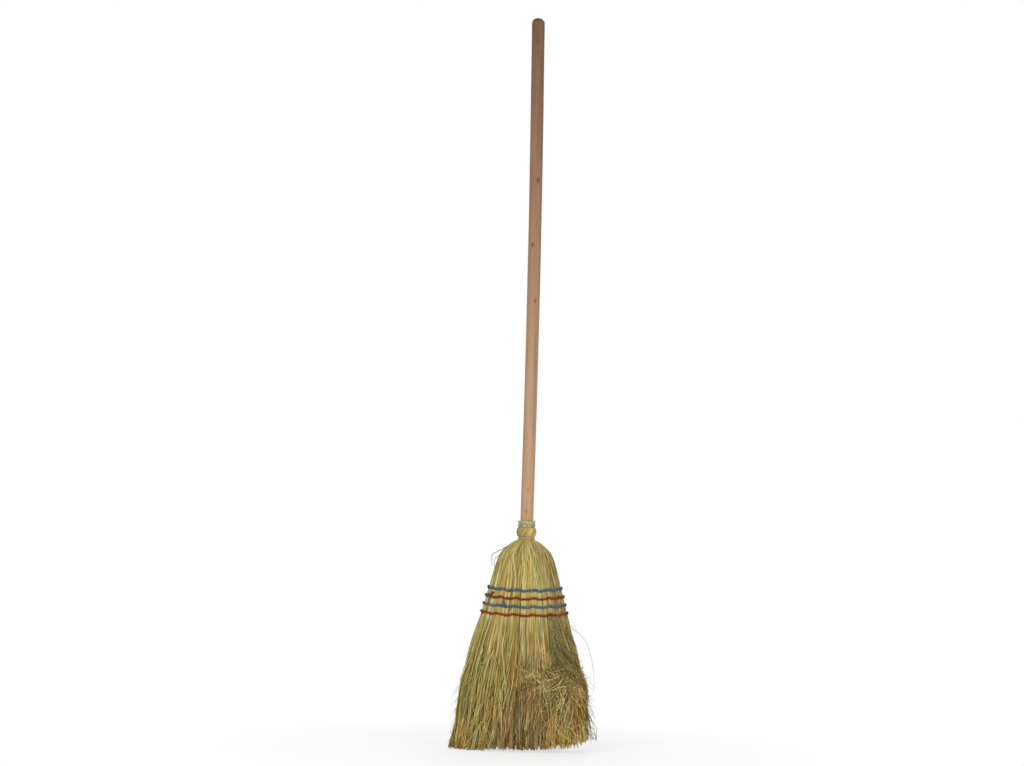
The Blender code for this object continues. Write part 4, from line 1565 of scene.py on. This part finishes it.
@dataclass
class LooseStraw:
    """The tangle at the right, stray wisps, whiskers, kinked stalks and the straw on the handle."""

    tangle_count: int = 760
    wisp_count: int = 300
    hair_count: int = 800
    corner_wisps: int = 60
    stubs: int = 350
    stub_tufts: int = 44
    side_limit: float = 0.1335
    seed: int = 31

    def bent(
        self, rng: Chance, start: Array, way: Array, length: Array, curl: Array, drop: Array,
        stations: int = 16,
    ) -> Array:
        """Paths on the face that start one way and turn as they go.

        With s the length run, the heading in the plane of the face is way + curl s + chance
        wobble, the place is the running sum of the heading's cosine and sine, and drop pulls the
        end down by its square.

        Args:
            rng: the source of chance.
            start: first points, one row each.
            way: first headings, 0 to the right and a quarter turn up.
            length: lengths.
            curl: how far each heading turns over its length.
            drop: how far the end sinks.
            stations: points on each path.

        Returns:
            The paths, strands x stations x 3.
        """
        count = len(start)
        s = np.linspace(0, 1, stations)[None, :]
        wobble = np.cumsum(rng.normal(0, 0.05, (count, stations)), axis=1)
        wobble = wobble + rng.normal(0, 0.10, (count, stations))
        heading = way[:, None] + curl[:, None] * s + wobble
        step = (length / (stations - 1))[:, None]
        dx = np.cumsum(np.cos(heading) * step, axis=1)
        dz = np.cumsum(np.sin(heading) * step, axis=1)
        path = np.repeat(start[:, None, :], stations, axis=1)
        path[..., 0] += dx - dx[:, :1]
        path[..., 2] += dz - dz[:, :1] - drop[:, None] * s**2
        return path

    def off_floor(self, path: Array) -> Array:
        """Paths whose fall is shortened where they would end under the broom's worn lower edge.

        Args:
            path: the paths.

        Returns:
            The paths, clear of the floor.
        """
        top = path[:, :1, 2]
        floor = OUTLINE.wear(path[:, -1:, 0]) + 0.002
        fall = (top - path[..., 2].min(axis=1, keepdims=True)).clip(1e-4)
        share = ((top - floor) / fall).clip(0.02, 1)
        out = path.copy()
        out[..., 2] = top - (top - path[..., 2]) * share
        return out

    def on_face(self, path: Array, side: float, proud: Array) -> Array:
        """Paths laid over the face: their depth follows the outline, a little proud of it.

        Args:
            path: paths whose x and z count.
            side: -1 for the front, 1 for the back.
            proud: how far off the outline each lies.

        Returns:
            The paths with their depth set.
        """
        wide, deep = OUTLINE.half_axes(path[..., 2].clip(0.0, 0.24))
        across = (path[..., 0] / (wide * 1.04)).clip(-0.995, 0.995)
        out = path.copy()
        out[..., 1] = side * (deep * np.sqrt(1 - across**2) + proud)
        return out

    def wisps(self, rng: Chance, tangled: bool) -> Strands:
        """Fine branchlets that lie across the others, on the face.

        Args:
            rng: the source of chance.
            tangled: whether they make the mat at the right, or are scattered all over.

        Returns:
            The strands.
        """
        if tangled:
            count, light, dark_share, right = self.tangle_count, 1.38, 0.36, 0.014
            pull = rng.random(count) < 0.62
            x = 0.010 + 0.090 * rng.random(count) ** 0.7
            z = np.where(pull, rng.normal(0.130, 0.016, count), rng.uniform(0.095, 0.150, count))
            z = np.where(z > 0.150, 0.300 - z, z)
            way = np.where(pull, rng.normal(-0.62, 0.34, count), rng.normal(-1.20, 0.30, count))
            flip = rng.random(count) < 0.22
            way = np.where(flip & pull, np.pi - way, way)
            length = rng.uniform(0.020, 0.060, count)
            curl = rng.normal(-0.34, 0.30, count)
            side = -1.0
            tones = (0.20, 0.22, 0.04, 0.14, 0.04, 0.22, 0.0)
        else:
            count, light, dark_share, right = self.wisp_count, 1.08, 0.0, 0.006
            x = rng.uniform(-0.095, 0.095, count)
            z = rng.uniform(0.04, 0.185, count) * np.where(x > 0.02, 0.66, 1.0)
            way = rng.normal(-np.pi / 2, 0.27, count) + x * 2.2
            length = rng.uniform(0.035, 0.09, count)
            curl = rng.normal(0, 0.28, count)
            side = np.where(rng.random(count) < 0.55, -1.0, 1.0)[:, None]
            tones = (0.3, 0.4, 0.1, 0.1, 0, 0, 0)
        start = np.stack((x, np.zeros(count), z), axis=-1)
        path = self.bent(rng, start, way, length, curl, rng.uniform(0, 0.010, count))
        path = self.off_floor(path)
        stations = path.shape[1]
        arch = 0.0014 * np.sin(np.linspace(0, 3.0, stations))
        proud = rng.uniform(0.0010, 0.0050, (count, 1)) + arch
        if tangled:
            proud = proud + 0.0035 * rise(x[:, None], 0.045, 0.03)
        path = kept_in(self.on_face(path, side, proud), right=right)
        s = np.linspace(0, 1, stations)[None, :]
        swell = 1 + 0.6 * (rng.random((count, stations)) < 0.22)
        thick = rng.uniform(0.00042, 0.00092, count)[:, None] * (1 - 0.55 * s) * swell
        thick[:, 0] *= 0.5
        mid = path[:, 8]
        weights = 0.4 * strand_weights(mid) + tones
        dark = rng.random((count, 1)) < dark_share
        light = np.where(dark, np.interp(mid[:, :1], (0.025, 0.055), (0.80, 0.42)), light)
        light = light * rng.normal(1.0, 0.26, (count, 1)).clip(0.4, 1.8)
        tint = (pick_tones(rng, weights) * light)[:, None] * placed_light(path)
        return Strands(path, thick, tint, FRONT, 3)

    def edge_hairs(self, rng: Chance) -> Strands:
        """Hairs that stand off both sides, stubs at the right, wisps that hang at its corner.

        Args:
            rng: the source of chance.

        Returns:
            The hairs.
        """
        count, stubs, stations = self.hair_count, self.stubs, 12
        right = rng.random(count) < 0.68
        sign = np.where(right, 1.0, -1.0)
        z_right = rng.normal(0.105, 0.042, count).clip(0.03, 0.20)
        z = np.where(right, z_right, rng.uniform(0.02, 0.20, count))
        wide, _ = OUTLINE.half_axes(z)
        wide = wide * np.where(right, 0.945, 0.985) - 0.006
        start = np.stack((sign * wide, rng.uniform(-0.020, 0.018, count), z), axis=-1)
        tilt = rng.uniform(0.10, 0.80, count) + np.where(right, rng.uniform(0, 0.5, count), 0)
        way = np.where(right, -np.pi / 2 + tilt, -np.pi / 2 - tilt)
        length = rng.uniform(0.012, 0.036, count)
        curl = -sign * rng.uniform(-0.1, 0.7, count)
        hanging = np.arange(count) < self.corner_wisps
        start[hanging, 0] = rng.uniform(0.098, 0.112, self.corner_wisps)
        start[hanging, 2] = rng.uniform(0.050, 0.115, self.corner_wisps)
        stub = np.arange(count) >= count - stubs
        tuft = rng.integers(0, self.stub_tufts, stubs)
        level = rng.normal(0.126, 0.030, self.stub_tufts).clip(0.06, 0.195)[tuft]
        start[stub, 2] = level + rng.normal(0, 0.0016, stubs)
        start[stub, 0] = 0.950 * OUTLINE.half_axes(start[stub, 2])[0] - 0.002
        start[stub, 1] *= 0.55
        way = np.where(hanging, rng.normal(-1.28, 0.10, count), way)
        length = np.where(hanging, rng.uniform(0.040, 0.085, count), length)
        curl = np.where(hanging, rng.normal(-0.15, 0.15, count), curl)
        way[stub] = rng.uniform(-1.2, 0.1, self.stub_tufts)[tuft] + rng.normal(0, 0.22, stubs)
        length[stub] = rng.uniform(0.006, 0.016, stubs)
        drop = rng.uniform(0, 0.006, count)
        path = self.bent(rng, start, way, length, curl, drop, stations)
        path[..., 0] = path[..., 0].clip(-self.side_limit, self.side_limit)
        path = self.off_floor(path)
        s = np.linspace(0, 1, stations)[None, :]
        thick = rng.uniform(0.00022, 0.00046, count) + 0.00022 * (hanging | stub)
        thick = thick[:, None] * (1 - 0.5 * s)
        weights = np.zeros((count, len(MIXED_TONES)))
        weights[:, (BROWN, OLIVE, GREEN)] = (0.4, 0.3, 0.3)
        tint = pick_tones(rng, weights)
        return Strands(path, thick, tint, FRONT, 3)

    def traced(self, rng: Chance, stray: Stray) -> Strands:
        """One stray straw through its marks, smoothed by cubic arcs between them.

        Args:
            rng: the source of chance.
            stray: the straw.

        Returns:
            A batch of one strand.
        """
        points = np.array(stray.marks, float) / 1000
        flat = points.shape[1] == 2
        if flat:
            points = np.insert(points, 1, 0.0, axis=1)
        fine = np.linspace(0, len(points) - 1, 6 * (len(points) - 1) + 1)
        low = np.floor(fine).astype(int).clip(0, len(points) - 2)
        t = (fine - low)[:, None]
        slope = np.gradient(points, np.arange(len(points)), axis=0)
        path = (
            (2 * t**3 - 3 * t**2 + 1) * points[low]
            + (t**3 - 2 * t**2 + t) * slope[low]
            + (-2 * t**3 + 3 * t**2) * points[low + 1]
            + (t**3 - t**2) * slope[low + 1]
        )[None]
        thick = stray.radius / 1000 * np.linspace(1, 0.45, len(fine))
        tint = pick_tones(rng, np.ones((1, 1)), (stray.tone,))
        if flat:
            path = kept_in(self.on_face(path, -1.0, np.full((1, 1), 0.0042)))
        return Strands(path, thick[None], tint, FRONT, 5)

    def strays(self, rng: Chance) -> list[Strands]:
        """The single straws that the picture shows one by one."""
        every = (*KINKED_STALKS, *WHISKERS, *FACE_STRAWS, CLIMBING_STRAW)
        return [self.traced(rng, stray) for stray in every]


class StrawDresser:
    """Brings stalks, stems, branchlets and loose straw together, one set of pieces per bundle."""

    BRANCHLETS_IN_A_PIECE = 1600

    def __init__(self) -> None:
        """Takes up the three kinds of straw and their finishes."""
        self.stalks = StalkCoat()
        self.sweep = Sweep()
        self.loose = LooseStraw()
        self.rng = np.random.default_rng(5)
        self.outer = StrawFinish("outer_straw_finish").material()
        # The inner finish's darker, browner blotch is a painted shade for straw deep in the bundle.
        dim = StrawFinish("inner_straw_finish", blotch=(96, 82, 44), roughness=0.62)
        self.inner = dim.material()
        self.fine = StrawFinish(
            "fine_straw_finish",
            fibre_scale=(2600.0, 2600.0, 160.0),
            blotch=(110, 92, 44),
            blotch_share=0.4,
            roughness=0.6,
            fleck_share=0.5,
        ).material()

    def core(self) -> Surface:
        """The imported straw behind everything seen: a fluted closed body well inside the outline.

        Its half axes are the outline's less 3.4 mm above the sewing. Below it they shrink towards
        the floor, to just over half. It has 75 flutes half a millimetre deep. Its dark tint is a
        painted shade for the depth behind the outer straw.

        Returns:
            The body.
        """
        sides, flutes = 300, 75
        heights = np.linspace(0.055, 0.392, 54)
        a = 2 * np.pi * np.arange(sides) / sides
        wide, deep = OUTLINE.half_axes(heights)
        low = rise(heights, 0.055, 0.17)
        shrink = 0.55 + 0.45 * low**0.7
        less = 0.0034 + 0.008 * (1 - low)
        flute = 0.0005 * np.cos(flutes * a)[None, :]
        x = (wide * shrink - less)[:, None] + flute
        y = (deep * shrink - less)[:, None] + flute
        level = np.repeat(heights[:, None], sides, 1)
        rings = np.stack((x * np.cos(a), y * np.sin(a), level), -1)
        # Painted shade: the core's dark tint stands for the depth inside the bundle.
        return capped(rings, 0.045, 0.394, written((104, 84, 44))[0])

    def lay(
        self, name: str, batches: list[Strands], bundle: Bundle | None = None, husks: float = 0.0
    ) -> None:
        """Dresses one piece of straw.

        Args:
            name: the piece's name.
            batches: its strands.
            bundle: the bundle that it stands for, if any.
            husks: the share of stations with a husk; straw with husks has the fine finish.
        """
        parts = [batch.surface(self.rng) for batch in batches]
        if husks:
            parts += [self.sweep.husks(self.rng, batch, husks) for batch in batches]
        inside = bundle is Bundle.INNER
        plain = self.inner if inside else self.outer
        nodes = [bundle.value] if bundle else []
        dress(name, joined(parts), self.fine if husks else plain, nodes)

    def build(self) -> None:
        """Makes and dresses every piece of straw."""
        dress("inner_bundle_core", self.core(), self.inner, [Bundle.INNER.value])
        for bundle, batches in self.stalks.build().items():
            if batches:
                self.lay(f"{bundle.value}_stalks", batches, bundle)
        chance = np.random.default_rng(self.sweep.seed)
        stems = self.sweep.stems(chance).split()
        heavy = self.sweep.heavy_stems(chance).split()
        for bundle, strands in stems.items():
            batches = [part for part in (strands, heavy[bundle]) if len(part.paths)]
            self.lay(f"{bundle.value}_stems", batches, bundle)
        for bundle, straws in self.sweep.top_straws(chance).split().items():
            if bundle is not Bundle.INNER:
                self.lay(f"{bundle.value}_top_straws", [straws], bundle)
        self.lay("right_grey_bunch", [self.sweep.right_bunch(chance)], husks=0.09)
        for bundle, twigs in self.sweep.twigs(chance).split().items():
            every = np.arange(len(twigs.paths))
            parts = max(1, math.ceil(len(every) / self.BRANCHLETS_IN_A_PIECE))
            for number, part in enumerate(np.array_split(every, parts), 1):
                name = f"{bundle.value}_branchlets_{number}"
                self.lay(name, [twigs.only(part)], bundle, husks=0.11)
        chance = np.random.default_rng(self.loose.seed)
        tangle = self.loose.wisps(chance, True)
        wisps = self.loose.wisps(chance, False)
        hairs = self.loose.edge_hairs(chance)
        self.lay("front_tangle", [tangle], husks=0.10)
        self.lay("scattered_wisps", [wisps], husks=0.08)
        self.lay("edge_hairs", [hairs], husks=0.05)
        self.lay("stray_straws", self.loose.strays(chance))


# Wire, nails, twine and handle


@dataclass
class WireWinding:
    """A tight winding of bright wire round the neck, its cut ends standing off at the sides."""

    name: str
    middle: float
    turns: int
    radius: float = 0.01500
    gauge: float = 0.00066
    pitch: float = 0.00138
    steps: int = 72

    def path(self) -> Array:
        """The wire's route: a level helix whose radius wavers by 0.1 mm, with its ends led off.

        Returns:
            Points along the wire.
        """
        count = self.turns * self.steps
        turn = np.linspace(0, 1, count + 1) * self.turns * 2 * np.pi + np.pi / 2
        share = np.linspace(-0.5, 0.5, count + 1)
        radius = self.radius + 0.0001 * np.sin(3 * turn + self.middle * 900)
        height = self.middle + share * self.turns * self.pitch + 0.00012 * np.sin(2 * turn)
        coil = np.stack((radius * np.cos(turn), radius * np.sin(turn), height), axis=-1)
        lead = coil[0] + np.linspace(1, 0, 7)[:-1, None] * (0.0016, 0.0012, -0.0006)
        tail = coil[-1] + np.linspace(0, 1, 7)[1:, None] * (-0.0016, 0.0012, 0.0006)
        return np.concatenate((lead, coil, tail))

    def build(self, finish: Material) -> None:
        """Makes and dresses the winding.

        Args:
            finish: its material.
        """
        path = self.path()[None]
        tint = written((196, 194, 180))
        facing = np.array([[0.0, 0.0, 1.0]])
        wire = Strands(path, np.full(path.shape[:2], self.gauge), tint, facing, 12)
        surface = wire.surface(np.random.default_rng(3))
        dress(self.name, surface, finish, [self.name])


@dataclass
class BindingNail:
    """A small flat-headed nail through a winding's end, at the back."""

    name: str
    height: float
    head_radius: float = 0.0020
    head: float = 0.0008
    shank: float = 0.0008
    outer: float = 0.0167
    inner: float = 0.0040

    def build(self, finish: Material) -> None:
        """Turns the nail about its own axis, then lays it level with its head outwards.

        Args:
            finish: its material.
        """
        length = self.outer - self.inner
        profile = np.array(
            [
                (0, 0),
                (0.0002, 0.0004),
                (self.shank, 0.0020),
                (self.shank, length - self.head),
                (self.head_radius * 0.92, length - self.head),
                (self.head_radius, length - self.head * 0.6),
                (self.head_radius * 0.96, length - self.head * 0.25),
                (self.head_radius * 0.72, length - self.head * 0.04),
                (0, length),
            ]
        )
        surface = turned(profile, 32, written((150, 148, 140))[0])
        x, y, z = surface.points.T
        surface.points = np.stack((x, self.inner + z, self.height - y), axis=-1)
        dress(self.name, surface, finish, [self.name])


class TwineDye(Enum):
    """The two dyes of the sewing twine: dyed, chafed pale, and deep between the fibres."""

    BLUE = ((82, 104, 118), (128, 147, 150), (32, 49, 62))
    RED = ((143, 50, 5), (182, 90, 28), (80, 19, 2))

    def finish(self) -> Material:
        """This dye's material."""
        dyed, pale, deep = self.value
        return TwineFinish(f"{self.name.lower()}_twine_finish", dyed, pale, deep).material()


@dataclass
class SewnRow:
    """One row of two-ply twine sewn through the straw, with its bites and loose fibres."""

    name: str
    row: int
    dye: TwineDye
    ply: float = 0.00115
    spacing: float = 0.00090
    lay: float = 0.0078
    stations: int = 560
    bite_count: int = 40
    bite_radius: float = 0.00072
    fibre_count: int = 260
    fibre_radius: float = 0.00007

    def middle(self, angle: Array) -> Array:
        """The middle of the twine: on the outline, dipping in where each stitch bites.

        Args:
            angle: angles on the outline.

        Returns:
            One point for each angle.
        """
        height = OUTLINE.row_height(self.row, angle)
        height = height + 0.0005 * np.sin(28 * angle + self.row)
        dip = 0.0007 * np.clip(np.cos(28 * angle + 1.3 * self.row), 0, 1) ** 3
        return OUTLINE.place(angle, height, 0.0016 - dip)

    def plies(self) -> Strands:
        """Two plies that wind round the middle half a turn apart.

        With s the length run, a ply stands off the middle by spacing times (out cos q + up sin q),
        q = 2 pi s / lay, the other at q + pi. Towards both sides of the broom the plies carry a
        painted shade, darker by 0.6 at most: the 16th power of the angle's cosine.

        Returns:
            Both plies as closed strands.
        """
        angle = np.linspace(0, 2 * np.pi, self.stations + 1)[:-1]
        middle = self.middle(angle)
        step = np.linalg.norm(np.roll(middle, -1, 0) - middle, axis=1)
        run = np.concatenate(([0], np.cumsum(step)[:-1]))
        turns = round(step.sum() / self.lay)
        q = 2 * np.pi * turns * run / step.sum()
        out = OUTLINE.outward(angle, middle[:, 2])
        q = q + np.array([[0], [np.pi]])
        up = np.array([0.0, 0.0, 1.0])
        wind = out * np.cos(q)[..., None] * 0.8 + up * np.sin(q)[..., None]
        paths = middle + self.spacing * wind
        radii = np.full(paths.shape[:2], self.ply)
        # Painted shade: the plies darken towards the left and right sides of the broom.
        side_shade = 1 - 0.6 * np.abs(np.cos(angle)) ** 16
        tint = np.broadcast_to(side_shade[None, :, None], paths.shape)
        facing = np.broadcast_to(out, paths.shape)
        return Strands(paths, radii, tint, facing, 12, 1.0, 4, 0.10, 2600.0, True)

    def bites(self, rng: Chance) -> Strands:
        """Short turns of twine that cross the row and dive into the straw under it.

        Args:
            rng: the source of chance.

        Returns:
            The turns.
        """
        count = self.bite_count
        angle = OUTLINE.even_angles(count, 0.26) + rng.normal(0, 0.02, count)
        s = np.linspace(0, 1, 9)[None, :]
        height = OUTLINE.row_height(self.row, angle)[:, None] + 0.0019 - 0.0052 * s
        lean = angle[:, None] + 0.016 * (s - 0.5)
        lift = 0.0026 * np.sin(np.pi * (0.08 + 0.84 * s)) ** 0.7 - 0.0008 - 0.0016 * s
        path = OUTLINE.place(lean, height, lift)
        radii = np.full(path.shape[:2], self.bite_radius)
        facing = np.broadcast_to(OUTLINE.outward(lean, height), path.shape)
        # Painted shade: the bites' tint of 0.7 darkens them where the twine dives into the straw.
        return Strands(path, radii, np.full((count, 3), 0.7), facing, 7)

    def fuzz(self, rng: Chance) -> Strands:
        """Loose fibres that stand off the twine.

        Args:
            rng: the source of chance.

        Returns:
            The fibres.
        """
        count = self.fibre_count
        angle = rng.uniform(0, 2 * np.pi, count)
        middle = self.middle(angle)
        s = np.linspace(0, 1, 5)[None, :, None]
        way = unit(rng.normal(0, 1, (count, 3)) + OUTLINE.outward(angle, middle[:, 2]) * 1.2)
        curl = unit(rng.normal(0, 1, (count, 3)))
        length = rng.uniform(0.0012, 0.0034, (count, 1, 1))
        path = middle[:, None, :] + way[:, None] * (0.0014 + length * s)
        path = path + curl[:, None] * length * 0.4 * s**2
        radii = np.full(path.shape[:2], self.fibre_radius)
        return Strands(path, radii, np.ones((count, 3)), curl, 3)

    def build(self, finish: Material) -> None:
        """Makes and dresses the row.

        Args:
            finish: its material.
        """
        rng = np.random.default_rng(60 + self.row)
        parts = [self.plies(), self.bites(rng), self.fuzz(rng)]
        surface = joined([part.surface(rng) for part in parts])
        dress(self.name, surface, finish, [self.name])


@dataclass
class TwineEnd:
    """A knot where a row's twine is tied off, with its frayed tail."""

    name: str
    dye: TwineDye
    centre: Point
    out: Point
    size: float
    tails: tuple[Point, ...]
    frayed: bool = False
    sag: float = 0.0025

    def knot(self) -> Strands:
        """An overhand knot: the three-lobed knot curve, flattened against the straw.

        With t once round, across = sin t + 2 sin 2t, up = cos t - 2 cos 2t, through = -sin 3t,
        each over 3 and times the size.

        Returns:
            The closed strand.
        """
        t = np.linspace(0, 2 * np.pi, 97)[:-1]
        out = unit(np.array(self.out))
        across = unit(np.cross(out, (0.0, 0.0, 1.0)))
        up = np.cross(across, out)
        shape = (
            across * (np.sin(t) + 2 * np.sin(2 * t))[:, None]
            + up * (np.cos(t) - 2 * np.cos(2 * t))[:, None]
            + out * (-1.1 * np.sin(3 * t))[:, None]
        )
        path = np.array(self.centre) + shape * self.size / 3
        radii = np.full((1, len(t)), self.size * 0.33)
        facing = np.tile(out + 0.001, (1, len(t), 1))
        return Strands(path[None], radii, np.ones((1, 3)), facing, 10, 1.0, 4, 0.12, 2400.0, True)

    def tail_fibres(self, rng: Chance) -> Strands:
        """Tails of loose fibres: each fibre follows its tail's line and drifts off it.

        Args:
            rng: the source of chance.

        Returns:
            The fibres.
        """
        each = 26 if self.frayed else 12
        marks = np.repeat(np.array(self.tails, float), each, axis=0)
        count = len(marks)
        s = np.linspace(0, 1, 10)[None, :, None]
        start = np.array(self.centre) + rng.normal(0, 0.0006, (count, 3))
        sag = np.array([0.0, 0.0, -self.sag]) * s**2
        spread = rng.normal(0, 0.0016 if self.frayed else 0.0008, (count, 1, 3))
        wave = rng.normal(0, 0.0005, (count, 1, 3))
        wave = wave * np.sin(6 * s + rng.uniform(0, 6, (count, 1, 1)))
        length = rng.uniform(0.65, 1.05, (count, 1, 1))
        path = start[:, None] + marks[:, None] * s * length + sag + spread * s**1.3 + wave * s
        radii = rng.uniform(0.00014, 0.00026, (count, 1)) * (1 - 0.5 * s[..., 0])
        return Strands(path, radii, np.ones((count, 3)), unit(rng.normal(0, 1, (count, 3))), 4)

    def tail_cores(self) -> Strands:
        """The twisted yarn inside each tail, over the first two thirds of it.

        Returns:
            The yarns.
        """
        s = np.linspace(0, 0.7, 24)[None, :, None]
        marks = np.array(self.tails, float)[:, None]
        sag = np.array([0.0, 0.0, -self.sag]) * s**2
        path = np.array(self.centre) + marks * s + sag
        radii = 0.00078 * (1 - 0.35 * s[..., 0]) * np.ones((len(self.tails), 1))
        facing = np.tile(unit(np.array(self.out) + 0.01), (len(self.tails), 1))
        return Strands(path, radii, np.ones((len(facing), 3)), facing, 9, 1.0, 3, 0.14, 2400.0)

    def build(self, finish: Material) -> None:
        """Makes and dresses the tied end.

        Args:
            finish: its material.
        """
        rng = np.random.default_rng(len(self.name) * 7 + int(self.size * 1e5))
        parts = [self.knot(), self.tail_fibres(rng), self.tail_cores()]
        surface = joined([part.surface(rng) for part in parts])
        dress(self.name, surface, finish, [self.name])


SEWN_ROWS = (
    SewnRow("upper_blue_row", 0, TwineDye.BLUE),
    SewnRow("upper_red_row", 1, TwineDye.RED),
    SewnRow("lower_blue_row", 2, TwineDye.BLUE),
    SewnRow("lower_red_row", 3, TwineDye.RED),
)
TWINE_ENDS = (
    TwineEnd(
        "upper_blue_tuft", TwineDye.BLUE, (-0.0615, -0.0125, 0.2755), (-0.6, -0.8, 0), 0.0024,
        ((-0.0075, -0.002, 0.004), (-0.0030, -0.003, -0.0085), (-0.0060, -0.001, 0.0005)),
        frayed=True,
    ),
    TwineEnd(
        "upper_red_knot", TwineDye.RED, (-0.0570, -0.0155, 0.2790), (-0.5, -0.85, 0), 0.0022,
        ((0.0040, -0.001, 0.0045), (-0.0040, -0.002, -0.0050)),
    ),
    TwineEnd(
        "lower_blue_knot", TwineDye.BLUE, (-0.0370, -0.0236, 0.2605), (-0.3, -0.95, 0), 0.0028,
        ((0.0005, -0.003, 0.0140), (0.0030, -0.002, -0.0020)),
    ),
    TwineEnd(
        "lower_red_knot", TwineDye.RED, (0.0450, 0.0224, 0.2455), (0.4, 0.9, 0), 0.0026,
        ((0.0060, 0.003, 0.0030),),
    ),
)


@dataclass
class Handle:
    """The turned beech stick with its oval dome."""

    length: float = 1.300
    radius: float = 0.0115
    dome: float = 0.0096
    foot: float = 0.300
    straw_top: float = 0.404
    bow_start: float = 0.41
    bow: float = 0.0034

    def build(self, finish: Material) -> None:
        """Makes and dresses the handle: a taper in the straw, a long shank and an oval dome.

        Above the straw the stick bends by bow (sin(pi s) / 2 - s squared), s the share of its
        length there: a little to the right half way up and to the left at the top.

        Args:
            finish: its material.
        """
        bend = np.linspace(np.pi / 2, 0, 14)[:-1]
        shoulder = self.length - self.dome
        dome = np.stack((self.radius * np.sin(bend), shoulder + self.dome * np.cos(bend)), -1)
        levels = np.linspace(self.straw_top, shoulder, 121)[:-1]
        shank = np.stack((np.full(len(levels), self.radius), levels), -1)
        profile = np.concatenate(
            (
                [(0, self.foot), (0.0044, self.foot), (0.006, self.foot + 0.004)],
                shank,
                dome,
                [(0, self.length)],
            )
        )
        surface = turned(profile, 72, written((190, 150, 115))[0], 0.00006)
        share = rise(surface.points[:, 2], self.bow_start, self.length - self.bow_start)
        surface.points[:, 0] += self.bow * (0.5 * np.sin(np.pi * share) - share**2)
        dress("handle_shaft", surface, finish, ["handle"])


# Studio


@dataclass
class Studio:
    """A pale floor, a white surround, soft lamps and the camera."""

    distance: float = 6.0
    view_height: float = 1.3595
    aim_z: float = 0.6512
    axis_pixel: float = 530.5
    picture: tuple[int, int] = (1024, 766)
    sensor: float = 36.0
    roll: float = 1.55
    lamps: tuple[tuple[str, Point, float, float], ...] = (
        ("key_lamp", (-1.5, -2.4, 2.1), 1.8, 48.0),
        ("fill_lamp", (1.9, -2.2, 1.3), 1.8, 26.0),
        ("rim_lamp", (0.6, 2.2, 2.2), 1.6, 22.0),
    )

    def floor(self) -> None:
        """A broad pale floor that keeps the broom's shadow and fades to white away from it."""
        size = 6.0
        mesh = bpy.data.meshes.new("floor")
        corners = [(-size, -size, 0), (size, -size, 0), (size, size, 0), (-size, size, 0)]
        mesh.from_pydata(corners, [], [(0, 1, 2, 3)])
        floor = bpy.data.objects.new("floor", mesh)
        bpy.context.scene.collection.objects.link(floor)
        bench = Bench(bpy.data.materials.new("pale_floor"))
        pale = {"Base Color": (0.86, 0.86, 0.85, 1.0), "Roughness": 0.9, "Specular IOR Level": 0.1}
        bench.give(bench.shader, pale)
        away = bench.add("ShaderNodeVectorMath", {0: bench.place()}, operation="LENGTH")
        near = bench.fit(away.outputs["Value"], 0.12, 0.55, 0.32, 0.0)
        white = bench.add("ShaderNodeEmission", {"Color": (1, 1, 1, 1), "Strength": 1.0})
        ground = bench.shader.outputs[0]
        faded = bench.blend(near, white.outputs[0], ground)
        surface = bench.blend(bench.seen(), ground, faded)
        bench.give(bench.tree.nodes["Material Output"], {"Surface": surface})
        mesh.materials.append(bench.owner)

    def surround(self) -> None:
        """A world that is white to look at and a soft grey to light with."""
        world = bpy.data.worlds.new("white_surround")
        bpy.context.scene.world = world
        bench = Bench(world)
        bench.tree.nodes.clear()
        grey = {"Color": (0.97, 0.98, 1.0, 1.0), "Strength": 0.45}
        soft = bench.add("ShaderNodeBackground", grey).outputs[0]
        white = bench.add("ShaderNodeBackground", {"Color": (1, 1, 1, 1)}).outputs[0]
        bench.add("ShaderNodeOutputWorld", {0: bench.blend(bench.seen(), soft, white)})

    def lamp(self, name: str, place: Point, size: float, power: float) -> None:
        """A square soft lamp that looks at the middle of the broom.

        Args:
            name: its name.
            place: where it stands.
            size: its edge.
            power: its power in watts.
        """
        data = bpy.data.lights.new(name, "AREA")
        data.energy = power
        data.size = size
        lamp = bpy.data.objects.new(name, data)
        lamp.location = place
        aim = Vector((0, 0, 0.55)) - Vector(place)
        lamp.rotation_euler = aim.to_track_quat("-Z", "Y").to_euler()
        bpy.context.scene.collection.objects.link(lamp)

    def camera(self) -> None:
        """A level camera in front, rolled so that the broom's top leans to the right."""
        data = bpy.data.cameras.new("camera")
        camera = bpy.data.objects.new("camera", data)
        bpy.context.scene.collection.objects.link(camera)
        across, up = self.picture
        width = self.view_height * across / up
        data.sensor_width = self.sensor
        data.lens = self.sensor * self.distance / width
        aside = (across / 2 - self.axis_pixel) / across * width
        camera.location = (aside, -self.distance, self.aim_z)
        level = Matrix.Rotation(math.pi / 2, 3, "X")
        rolled = Matrix.Rotation(math.radians(-self.roll), 3, "Y")
        camera.rotation_euler = (rolled @ level).to_euler()
        bpy.context.scene.camera = camera

    def build(self) -> None:
        """Sets up the whole studio."""
        self.floor()
        self.surround()
        for lamp in self.lamps:
            self.lamp(*lamp)
        self.camera()
        bpy.context.scene.view_settings.view_transform = "Standard"


def main() -> None:
    """Builds the broom class by class and reports each piece."""
    logging.basicConfig(level=logging.INFO, format="%(message)s")
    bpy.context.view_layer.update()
    StrawDresser().build()
    wire = WireFinish("galvanised_wire_finish").material()
    WireWinding("upper_wire_binding", OUTLINE.upper_wire, 4).build(wire)
    WireWinding("lower_wire_binding", OUTLINE.lower_wire, 2, 0.01455).build(wire)
    steel = WireFinish("nail_steel_finish", (150, 148, 140), 0.38).material()
    BindingNail("upper_wire_nail", 0.3953).build(steel)
    BindingNail("lower_wire_nail", 0.3799).build(steel)
    dyes = {dye: dye.finish() for dye in TwineDye}
    for twine in (*SEWN_ROWS, *TWINE_ENDS):
        twine.build(dyes[twine.dye])
    Handle().build(WoodFinish().material())
    Studio().build()


if __name__ == "__main__":
    main()
